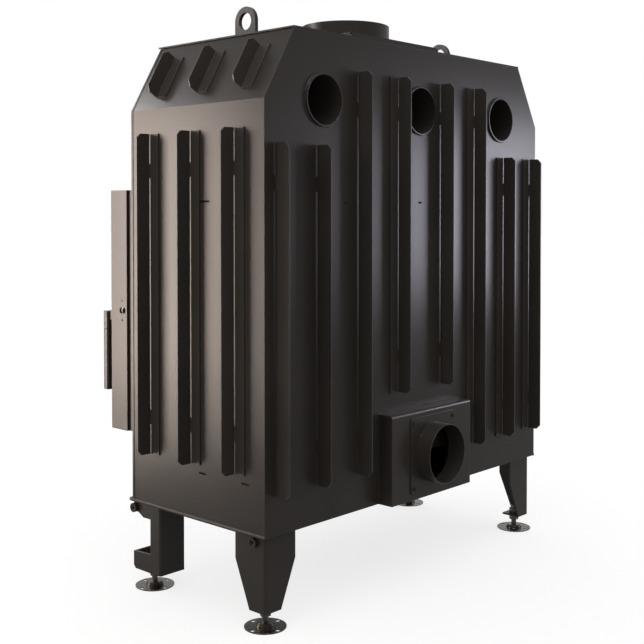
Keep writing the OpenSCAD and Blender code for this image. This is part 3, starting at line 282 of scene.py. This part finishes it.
def new_group(name, inputs, outputs):
    """Shader node group with float inputs {name: default} and outputs [(name, socket type)]."""
    group = bpy.data.node_groups.new(name, "ShaderNodeTree")
    for label, value in inputs.items():
        group.interface.new_socket(label, in_out="INPUT", socket_type="NodeSocketFloat").default_value = value
    for label, kind in outputs:
        group.interface.new_socket(label, in_out="OUTPUT", socket_type=kind)
    start = group.nodes.new("NodeGroupInput")
    end = group.nodes.new("NodeGroupOutput")
    return group, start, end


def sprayed_grain():
    """Group: fine orange-peel grain and slow mottling of a sprayed or cast surface."""
    group, start, end = new_group(
        "sprayed_grain", {"Grain per metre": 900.0, "Mottle per metre": 6.0},
        [("Height", "NodeSocketFloat"), ("Mottle", "NodeSocketFloat"), ("Speckle", "NodeSocketFloat")])
    place = object_place(group)
    fine = add(group, "ShaderNodeTexNoise", {
        "Vector": place, "Scale": start.outputs[0], "Detail": 3.0, "Roughness": 0.55})
    slow = add(group, "ShaderNodeTexNoise", {
        "Vector": place, "Scale": start.outputs[1], "Detail": 2.0, "Roughness": 0.5})
    speckle_scale = maths(group, "MULTIPLY", start.outputs[0], 0.6)
    speckle = add(group, "ShaderNodeTexVoronoi", {"Vector": place, "Scale": speckle_scale})
    group.links.new(fine.outputs[0], end.inputs["Height"])
    group.links.new(slow.outputs[0], end.inputs["Mottle"])
    group.links.new(speckle.outputs["Distance"], end.inputs["Speckle"])


def rubbed_edges():
    """Group: rounded normal along sharp edges, and a mask of those edges broken up by a little noise."""
    group, start, end = new_group(
        "rubbed_edges", {"Width": 0.001, "Amount": 1.0},
        [("Mask", "NodeSocketFloat"), ("Normal", "NodeSocketVector")])
    rounded = add(group, "ShaderNodeBevel", {"Radius": start.outputs["Width"]}, samples=6)
    flat = add(group, "ShaderNodeNewGeometry")
    facing = add(group, "ShaderNodeVectorMath", {0: rounded.outputs[0], 1: flat.outputs["Normal"]},
                 operation="DOT_PRODUCT")
    turned = maths(group, "SUBTRACT", 1.0, facing.outputs["Value"])
    strong = maths(group, "MULTIPLY", turned, 5.0)
    patches = add(group, "ShaderNodeTexNoise", {"Vector": object_place(group), "Scale": 45.0, "Detail": 4.0})
    broken = add(group, "ShaderNodeMapRange", {
        "Value": patches.outputs[0], "From Min": 0.35, "From Max": 0.65, "To Min": 0.35, "To Max": 1.0})
    mask = maths(group, "MULTIPLY", strong, broken.outputs[0])
    mask = maths(group, "MULTIPLY", mask, start.outputs["Amount"])
    held = add(group, "ShaderNodeClamp", {"Value": mask})
    group.links.new(held.outputs[0], end.inputs["Mask"])
    group.links.new(rounded.outputs[0], end.inputs["Normal"])


def settled_dust():
    """Group: mask of the faint dust on upward faces."""
    group, start, end = new_group("settled_dust", {"Amount": 0.1}, [("Mask", "NodeSocketFloat")])
    flat = add(group, "ShaderNodeNewGeometry")
    up = add(group, "ShaderNodeSeparateXYZ", {0: flat.outputs["Normal"]}).outputs["Z"]
    clouds = add(group, "ShaderNodeTexNoise", {
        "Vector": object_place(group), "Scale": 14.0, "Detail": 5.0, "Roughness": 0.65})
    upward = add(group, "ShaderNodeMapRange", {"Value": up, "From Min": 0.3, "From Max": 1.0})
    mask = maths(group, "MULTIPLY", upward.outputs[0], clouds.outputs[0])
    group.links.new(maths(group, "MULTIPLY", mask, start.outputs["Amount"]), end.inputs["Mask"])


def effect(tree, name, values):
    """Places one of the three shared groups in a material."""
    node = tree.nodes.new("ShaderNodeGroup")
    node.node_tree = bpy.data.node_groups[name]
    for label, value in values.items():
        node.inputs[label].default_value = value
    return node


def grained(tree, grain, mottle):
    """Places the grain group with its scales per metre; gives its height, mottle and speckle."""
    node = effect(tree, "sprayed_grain", {"Grain per metre": grain, "Mottle per metre": mottle})
    return node.outputs["Height"], node.outputs["Mottle"], node.outputs["Speckle"]


def edged(tree, width, amount):
    """Places the edge group; gives its mask and its rounded normal."""
    node = effect(tree, "rubbed_edges", {"Width": width, "Amount": amount})
    return node.outputs["Mask"], node.outputs["Normal"]


# ---------------------------------------------------------------- finishes

def new_material(name):
    """Empty material with a Principled shader; gives the material, its tree and the shader."""
    material = bpy.data.materials.new(name)
    material.use_nodes = True
    tree = material.node_tree
    tree.nodes.clear()
    shader = tree.nodes.new("ShaderNodeBsdfPrincipled")
    out = tree.nodes.new("ShaderNodeOutputMaterial")
    tree.links.new(shader.outputs[0], out.inputs[0])
    return material, tree, shader


def connect(tree, shader, colour, rough, normal=None):
    """Links the colour, the roughness and, where there is one, the normal to the shader."""
    tree.links.new(colour, shader.inputs["Base Color"])
    tree.links.new(rough, shader.inputs["Roughness"])
    if normal is not None:
        tree.links.new(normal, shader.inputs["Normal"])


def satin_paint(name, finish, brightness=1.0, rougher=0.0, dust=0.10, edge_share=1.0):
    """Satin heat-resistant paint: fine grain, slow mottling, thin paint along cut edges, dust on top."""
    material, tree, shader = new_material(name)
    height, mottle, _ = grained(tree, 650.0, 5.0)
    bare, rounded = edged(tree, finish.edge_width * edge_share, 0.22)
    settled = effect(tree, "settled_dust", {"Amount": dust}).outputs["Mask"]
    darker, lighter = tinted(finish.paint, brightness * 0.86), tinted(finish.paint, brightness * 1.12)
    mottled = blend_colours(tree, spread(tree, mottle, 0, 1), darker, lighter)
    worn = blend_colours(tree, bare, mottled, tuple(finish.paint_worn))
    roughness = finish.paint_gloss + rougher
    connect(tree, shader, blend_colours(tree, settled, worn, DUST),
            spread(tree, height, roughness - 0.03, roughness + 0.04), bump(tree, height, finish.grain, rounded))
    shader.inputs["Specular IOR Level"].default_value = PAINT_SPECULAR
    return material


def zinc_plate(finish):
    """Dull zinc plate: fine turned rings along its height, a little cloudy, brighter on edges."""
    material, tree, shader = new_material("zinc_plate")
    _, mottle, _ = grained(tree, 1400.0, 60.0)
    bare, rounded = edged(tree, finish.edge_width * 0.6, 0.5)
    cloudy = blend_colours(tree, spread(tree, mottle, 0, 1), tinted(finish.zinc, 0.72), tuple(finish.zinc))
    turns = add(tree, "ShaderNodeTexWave", {"Vector": object_place(tree), "Scale": 180.0, "Distortion": 0.0},
                bands_direction="Z")
    connect(tree, shader, blend_colours(tree, bare, cloudy, tinted(finish.zinc, 1.7)),
            spread(tree, mottle, *ZINC_ROUGHNESS), bump(tree, turns.outputs["Fac"], 0.0002, rounded, 0.25))
    shader.inputs["Metallic"].default_value = 1.0
    return material


def black_oxide(finish):
    """Black oxide of the screws and bolts, slightly oily."""
    material, tree, shader = new_material("black_oxide")
    height, mottle, _ = grained(tree, 2500.0, 80.0)
    bare, rounded = edged(tree, finish.edge_width * 0.5, 0.12)
    mottled = blend_colours(tree, spread(tree, mottle, 0, 1), tuple(finish.oxide), tinted(finish.oxide, 1.8))
    connect(tree, shader, blend_colours(tree, bare, mottled, BARE_OXIDE),
            spread(tree, height, *OXIDE_ROUGHNESS), bump(tree, height, 0.00003, rounded))
    shader.inputs["Specular IOR Level"].default_value = OXIDE_SPECULAR
    return material


def soot_black(finish):
    """Matt near-black of the small parts that sit deep in holes and slots: painted shade, so that those slots and
    the end of the handle shaft read dark.
    """
    material, tree, shader = new_material("soot_black")
    height, mottle, _ = grained(tree, 800.0, 40.0)
    mottled = blend_colours(tree, spread(tree, mottle, 0, 1), tinted(finish.oxide, 0.3), tuple(finish.oxide))
    connect(tree, shader, mottled, spread(tree, height, *SHADE_BLACK_ROUGHNESS))
    shader.inputs["Specular IOR Level"].default_value = SHADE_BLACK_SPECULAR
    return material


def lining_board(finish):
    """Vermiculite board: flakes of different tints in a sandy ground, with small pits."""
    material, tree, shader = new_material("lining_board")
    height, mottle, speckle = grained(tree, 420.0, 9.0)
    bare, rounded = edged(tree, 0.0022, 0.35)
    flakes = blend_colours(tree, spread(tree, speckle, 0, 1), tuple(finish.board), tinted(finish.board, 0.62))
    shaded = blend_colours(tree, spread(tree, mottle, 0.0, 0.45), flakes, tinted(finish.board, 0.8))
    connect(tree, shader, blend_colours(tree, bare, shaded, BARE_BOARD),
            spread(tree, speckle, *BOARD_ROUGHNESS), bump(tree, height, 0.0012, rounded))
    return material


def cast_iron(finish):
    """Sand-cast iron of the grate, with a little rust in its mottling."""
    material, tree, shader = new_material("cast_grate")
    height, mottle, _ = grained(tree, 700.0, 25.0)
    bare, rounded = edged(tree, 0.0016, 0.5)
    rusty = tinted(finish.iron, (1.9, 1.5, 1.25))
    mottled = blend_colours(tree, spread(tree, mottle, 0, 0.8), tuple(finish.iron), rusty)
    connect(tree, shader, blend_colours(tree, bare, mottled, BARE_IRON),
            spread(tree, height, *IRON_ROUGHNESS), bump(tree, height, 0.0006, rounded))
    return material


def rope_seal(finish):
    """Glass-fibre rope and tape: crossing fibres, sooty in patches."""
    material, tree, shader = new_material("rope_seal")
    fibres = add(tree, "ShaderNodeTexWave", {
        "Vector": object_place(tree), "Scale": 75.0, "Distortion": 1.2, "Detail": 2.0},
        bands_direction="DIAGONAL").outputs["Fac"]
    height, mottle, _ = grained(tree, 1500.0, 40.0)
    woven = blend_colours(tree, fibres, tinted(finish.rope, 0.55), tuple(finish.rope))
    connect(tree, shader, blend_colours(tree, spread(tree, mottle, 0, 0.4), woven, SOOT),
            spread(tree, height, *ROPE_ROUGHNESS), bump(tree, fibres, 0.0008))
    shader.inputs["Sheen Weight"].default_value = 0.3
    return material


def ceramic_glass():
    """Slightly amber ceramic glass with faint wipe marks."""
    material, tree, shader = new_material("ceramic_glass")
    _, mottle, _ = grained(tree, 60.0, 3.0)
    connect(tree, shader, blend_colours(tree, spread(tree, mottle, 0, 1), *GLASS_TINTS),
            spread(tree, mottle, *GLASS_ROUGHNESS))
    shader.inputs["Transmission Weight"].default_value = 1.0
    shader.inputs["IOR"].default_value = GLASS_IOR
    return material


def wear(nodes, material):
    """Gives frame nodes one material in all their slots."""
    for name in nodes:
        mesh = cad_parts[name].data
        mesh.materials.clear()
        mesh.materials.append(material)


class INSERT_OT_finishes(bpy.types.Operator):
    """Makes the shared effects and the finishes, and gives every node of the frame its own."""

    bl_idname = "insert.finishes"
    bl_label = "Finishes"

    def execute(self, context):
        finish = context.scene.insert_finish
        sprayed_grain()
        rubbed_edges()
        settled_dust()
        wear(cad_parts, satin_paint("satin_paint", finish))
        wear(GRIP_NODES, satin_paint("handle_black", finish, rougher=-0.04, dust=0.03))
        wear(ROLLED_NODES, satin_paint("rolled_paint", finish, rougher=0.28))
        # The fins wear the same paint made 1.35 times lighter: painted light that stands in for the bounce light
        # from the bright wall
        wear(FIN_NODES, satin_paint("fin_paint", finish, brightness=1.35))
        # The air box wears a copy with 3.2 times wider edges: rounder bent edges, and a wider band of lighter edge
        # paint that is partly thin paint and partly a painted highlight along its edges
        wear(BENT_NODES, satin_paint("bent_paint", finish, edge_share=3.2))
        wear(ZINC_NODES, zinc_plate(finish))
        wear(BLACK_NODES, black_oxide(finish))
        wear(SHADED_NODES, soot_black(finish))
        wear(LINING_NODES, lining_board(finish))
        wear(ROPE_NODES, rope_seal(finish))
        wear(IRON_NODES, cast_iron(finish))
        wear(GLASS_NODES, ceramic_glass())
        return {"FINISHED"}


# ---------------------------------------------------------------- pieces that follow a path

def path_mesh(name, lines):
    """Mesh of edges only, one run of edges for each (points, closed)."""
    points, edges = [], []
    for line, closed in lines:
        first = len(points)
        points += line
        edges += [(first + i, first + i + 1) for i in range(len(line) - 1)]
        if closed:
            edges.append((first + len(line) - 1, first))
    mesh = bpy.data.meshes.new(name)
    mesh.from_pydata([tuple(p) for p in points], edges, [])
    return mesh


def open_tree(name, sizes):
    """Geometry nodes tree with a path, the named sizes and a material as inputs; gives the tree and its inputs."""
    tree = bpy.data.node_groups.new(name, "GeometryNodeTree")
    face = tree.interface
    face.new_socket("Geometry", in_out="INPUT", socket_type="NodeSocketGeometry")
    for label in sizes:
        face.new_socket(label, in_out="INPUT", socket_type="NodeSocketFloat")
    face.new_socket("Material", in_out="INPUT", socket_type="NodeSocketMaterial")
    face.new_socket("Geometry", in_out="OUTPUT", socket_type="NodeSocketGeometry")
    return tree, tree.nodes.new("NodeGroupInput").outputs


def stepped_path(tree, given, repeat, steps):
    """The given path with steps points in each repeat; gives the curve and the number of repeats up to a point."""
    step = maths(tree, "DIVIDE", given[repeat], steps)
    line = add(tree, "GeometryNodeMeshToCurve", {"Mesh": given["Geometry"]})
    fine = add(tree, "GeometryNodeResampleCurve", {"Curve": line.outputs[0], "Length": step}, mode="LENGTH")
    along = add(tree, "GeometryNodeSplineParameter").outputs["Length"]
    return fine.outputs[0], maths(tree, "DIVIDE", along, given[repeat])


def close_tree(tree, given, solid):
    """Smooths the swept solid, makes it real, gives it the material and puts it out."""
    smooth = add(tree, "GeometryNodeSetShadeSmooth", {"Geometry": solid})
    real = add(tree, "GeometryNodeRealizeInstances", {"Geometry": smooth.outputs[0]})
    painted = add(tree, "GeometryNodeSetMaterial", {"Geometry": real.outputs[0], "Material": given["Material"]})
    tree.links.new(painted.outputs[0], tree.nodes.new("NodeGroupOutput").inputs[0])
    return tree


def bead_tree():
    """Geometry nodes: a rippled bead swept along the path."""
    tree, given = open_tree("weld_bead", ("Radius", "Pitch", "Ripple"))
    path, turns = stepped_path(tree, given, "Pitch", 4.0)
    wave = maths(tree, "SINE", maths(tree, "MULTIPLY", turns, 2 * math.pi))
    size = maths(tree, "ADD", maths(tree, "MULTIPLY", wave, given["Ripple"]), 1.0)
    swollen = add(tree, "GeometryNodeSetCurveRadius", {"Curve": path, "Radius": size})
    section = add(tree, "GeometryNodeCurvePrimitiveCircle", {"Resolution": 8, "Radius": given["Radius"]})
    bead = add(tree, "GeometryNodeCurveToMesh", {
        "Curve": swollen.outputs[0], "Profile Curve": section.outputs["Curve"], "Scale": size, "Fill Caps": True})
    return close_tree(tree, given, bead.outputs[0])


def rope_tree():
    """Geometry nodes: a laid rope swept along the path, its strands turning once per lay."""
    tree, given = open_tree("laid_rope", ("Radius", "Lay", "Groove"))
    path, turns = stepped_path(tree, given, "Lay", 18.0)
    turned = maths(tree, "MULTIPLY", turns, 2 * math.pi)
    twisted = add(tree, "GeometryNodeSetCurveTilt", {"Curve": path, "Tilt": turned})
    hollow = maths(tree, "MULTIPLY", given["Radius"], maths(tree, "SUBTRACT", 1.0, given["Groove"]))
    strands = add(tree, "GeometryNodeCurveStar", {
        "Points": 6, "Inner Radius": hollow, "Outer Radius": given["Radius"]})
    rope = add(tree, "GeometryNodeCurveToMesh", {
        "Curve": twisted.outputs[0], "Profile Curve": strands.outputs["Curve"], "Fill Caps": True})
    return close_tree(tree, given, rope.outputs[0])


def grow(name, mesh, tree, values):
    """Runs a geometry nodes tree on a mesh and gives the plain mesh object that comes out."""
    seed = bpy.data.objects.new(name + "_path", mesh)
    bpy.context.scene.collection.objects.link(seed)
    modifier = seed.modifiers.new("grow", "NODES")
    modifier.node_group = tree
    for item in tree.interface.items_tree:
        if item.in_out == "INPUT" and item.name in values:
            modifier[item.identifier] = values[item.name]
    seed.update_tag()
    bpy.context.view_layer.update()
    solid = seed.evaluated_get(bpy.context.evaluated_depsgraph_get())
    made = bpy.data.objects.new(name, bpy.data.meshes.new_from_object(solid))
    bpy.context.scene.collection.objects.link(made)
    bpy.data.objects.remove(seed)
    return made


# ---------------------------------------------------------------- weld beads

def ring_points(centre, radius, across, up, count=160):
    """Closed ring of points round centre in the plane of the unit vectors across and up."""
    turn = [2 * math.pi * i / count for i in range(count)]
    return [centre + across * (radius * math.cos(a)) + up * (radius * math.sin(a)) for a in turn]


def rectangle(low, high, z):
    """Four corners of a level rectangle at height z."""
    return [Vector((low.x, low.y, z)), Vector((high.x, low.y, z)),
            Vector((high.x, high.y, z)), Vector((low.x, high.y, z))]


def weld_lines():
    """Paths of the weld beads on the casing, each with whether it is closed."""
    lines = []
    back_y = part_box("back_panel")[1].y
    front_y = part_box("front_panel")[0].y
    for side in ("right", "middle", "left"):
        low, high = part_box("convection_tube_" + side)
        centre = (low + high) / 2
        for y in (back_y, front_y):
            lines.append((ring_points(Vector((centre.x, y, centre.z)), (high.z - low.z) / 2, X, Z), True))
    low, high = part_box("flue_collar")
    centre = (low + high) / 2
    lines.append((ring_points(Vector((centre.x, centre.y, low.z)), (high.x - low.x) / 2, X, Y), True))
    low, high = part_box("flue_base_box")
    lines.append((rectangle(low, high, low.z), True))
    low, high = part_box("lifting_lugs")
    for outer, inner in ((-high.x, LUG_THICKNESS - high.x), (high.x, high.x - LUG_THICKNESS)):
        corners = Vector((min(outer, inner), low.y, 0)), Vector((max(outer, inner), high.y, 0))
        lines.append((rectangle(*corners, low.z), True))
    low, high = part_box("air_inlet_box")
    lines.append(([Vector((low.x, back_y, low.z)), Vector((low.x, back_y, high.z)),
                   Vector((high.x, back_y, high.z)), Vector((high.x, back_y, low.z))], False))
    return lines


class INSERT_OT_welds(bpy.types.Operator):
    """Lays the weld beads of the tubes, collar, flue box, lifting lugs and air box."""

    bl_idname = "insert.welds"
    bl_label = "Weld beads"

    def execute(self, context):
        sizes = context.scene.insert_welds
        values = {"Radius": sizes.radius, "Pitch": sizes.pitch, "Ripple": sizes.ripple,
                  "Material": bpy.data.materials["satin_paint"]}
        beads = grow("weld_beads", path_mesh("weld_paths", weld_lines()), bead_tree(), values)
        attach(beads, "casing")
        return {"FINISHED"}


# ---------------------------------------------------------------- rope seal

def rounded_frame(low, high, radius, steps=8):
    """Closed run of points round the upright rectangle low to high (at low's y), with round corners."""
    points = []
    corners = [(high.x, high.z, 0), (low.x, high.z, 90), (low.x, low.z, 180), (high.x, low.z, 270)]
    for x, z, start in corners:
        middle_x = x - math.copysign(radius, x - (low.x + high.x) / 2)
        middle_z = z - math.copysign(radius, z - (low.z + high.z) / 2)
        for i in range(steps + 1):
            angle = math.radians(start + 90 * i / steps)
            points.append(Vector((middle_x + radius * math.cos(angle), low.y, middle_z + radius * math.sin(angle))))
    return points


class INSERT_OT_rope(bpy.types.Operator):
    """Lays the rope seal in its groove round the fire opening, in place of the plain gasket."""

    bl_idname = "insert.rope"
    bl_label = "Rope seal"

    def execute(self, context):
        sizes = context.scene.insert_rope
        low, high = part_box("door_gasket")
        inset = sizes.groove / 2
        y = (low.y + high.y) / 2
        path = rounded_frame(Vector((low.x + inset, y, low.z + inset)), Vector((high.x - inset, y, high.z - inset)),
                             sizes.corner)
        values = {"Radius": (high.y - low.y) / 2 * ROPE_FILL, "Lay": sizes.lay, "Groove": sizes.depth,
                  "Material": bpy.data.materials["rope_seal"]}
        rope = grow("rope_seal", path_mesh("rope_path", [(path, True)]), rope_tree(), values)
        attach(rope, "casing")
        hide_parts("door_gasket")
        return {"FINISHED"}


# ---------------------------------------------------------------- stage

def panel(power, name, centre, turn, distance, height, size, colour):
    """Soft lamp that the camera and glass don't see; gives its object."""
    data = bpy.data.lights.new(name, "AREA")
    data.shape = "RECTANGLE"
    data.size, data.size_y = size
    data.energy = power
    data.color = colour
    made = bpy.data.objects.new(name, data)
    angle = math.radians(turn)
    place = Vector((centre[0] + distance * math.cos(angle), centre[1] + distance * math.sin(angle), height))
    target = Vector((centre[0], centre[1], min(height, AIM_HEIGHT)))
    made.location = place
    made.rotation_euler = (target - place).to_track_quat("-Z", "Y").to_euler()
    made.visible_camera = False
    made.visible_transmission = False
    bpy.context.scene.collection.objects.link(made)
    return made


def sight_mask(tree):
    """1 for rays from the camera, and for mirrored and transmitted ones, and 0 for the rest."""
    path = add(tree, "ShaderNodeLightPath")
    seen = maths(tree, "MAXIMUM", path.outputs["Is Camera Ray"], path.outputs["Is Glossy Ray"])
    return maths(tree, "MAXIMUM", seen, path.outputs["Is Transmission Ray"])


def pale_floor():
    """Large pale floor that glows a little where it is seen, and keeps the object's shadow."""
    mesh = bpy.data.meshes.new("floor")
    reach = FLOOR_REACH
    mesh.from_pydata([(-reach, -reach, 0), (reach, -reach, 0), (reach, reach, 0), (-reach, reach, 0)], [],
                     [(0, 1, 2, 3)])
    floor = bpy.data.objects.new("floor", mesh)
    bpy.context.scene.collection.objects.link(floor)
    material, tree, shader = new_material("pale_floor")
    shader.inputs["Base Color"].default_value = FLOOR_GREY
    shader.inputs["Roughness"].default_value = 0.9
    shader.inputs["Specular IOR Level"].default_value = 0.0
    glow = maths(tree, "MULTIPLY", sight_mask(tree), FLOOR_GLOW)
    tree.links.new(glow, shader.inputs["Emission Strength"])
    shader.inputs["Emission Color"].default_value = WHITE
    floor.data.materials.append(material)


def white_room(scene, fill):
    """Even light from all round, white where it is seen."""
    world = bpy.data.worlds.new("white_room")
    scene.world = world
    world.use_nodes = True
    tree = world.node_tree
    tree.nodes.clear()
    strength = add(tree, "ShaderNodeMapRange", {"Value": sight_mask(tree), "To Min": fill, "To Max": 1.0}).outputs[0]
    sky = add(tree, "ShaderNodeBackground", {"Color": WHITE, "Strength": strength})
    out = tree.nodes.new("ShaderNodeOutputWorld")
    tree.links.new(sky.outputs[0], out.inputs[0])


class INSERT_OT_stage(bpy.types.Operator):
    """Makes the floor, the lamps, the white room and the camera at the photograph's angle."""

    bl_idname = "insert.stage"
    bl_label = "Stage"

    def execute(self, context):
        scene = context.scene
        studio = scene.insert_studio
        scene.view_settings.view_transform = "Standard"
        white_room(scene, studio.fill)
        pale_floor()
        for lamp in SHEENS:
            panel(getattr(studio, lamp[0]), *lamp).visible_diffuse = False
        for lamp in LIGHTS:
            panel(getattr(studio, lamp[0]), *lamp)
        data = bpy.data.cameras.new("camera")
        data.lens = studio.lens
        data.sensor_width = SENSOR_WIDTH
        data.shift_y = CAMERA_SHIFT
        camera = bpy.data.objects.new("camera", data)
        camera.location = CAMERA_PLACE
        camera.rotation_euler = Euler((math.radians(CAMERA_TILT), 0.0, math.radians(CAMERA_TURN)))
        scene.collection.objects.link(camera)
        scene.camera = camera
        return {"FINISHED"}


class INSERT_PT_sidebar(bpy.types.Panel):
    """Lists the steps that dress the insert."""

    bl_label = "Fireplace insert"
    bl_idname = "INSERT_PT_sidebar"
    bl_space_type = "VIEW_3D"
    bl_region_type = "UI"
    bl_category = "Insert"

    def draw(self, context):
        for step in STEPS:
            self.layout.operator(step.bl_idname)


STEPS = [INSERT_OT_finishes, INSERT_OT_welds, INSERT_OT_rope, INSERT_OT_stage]
GROUPS = {"insert_finish": InsertFinish, "insert_welds": InsertWelds, "insert_rope": InsertRope,
          "insert_studio": InsertStudio}


def register():
    """Registers the settings, the steps and the panel."""
    for name, group in GROUPS.items():
        bpy.utils.register_class(group)
        setattr(bpy.types.Scene, name, bpy.props.PointerProperty(type=group))
    for step in STEPS:
        bpy.utils.register_class(step)
    bpy.utils.register_class(INSERT_PT_sidebar)


def unregister():
    """Removes the settings, the steps and the panel."""
    bpy.utils.unregister_class(INSERT_PT_sidebar)
    for step in reversed(STEPS):
        bpy.utils.unregister_class(step)
    for name, group in GROUPS.items():
        delattr(bpy.types.Scene, name)
        bpy.utils.unregister_class(group)


def main():
    """Runs every step in order."""
    register()
    bpy.ops.insert.finishes()
    bpy.ops.insert.welds()
    bpy.ops.insert.rope()
    bpy.ops.insert.stage()


if __name__ == "__main__":
    main()
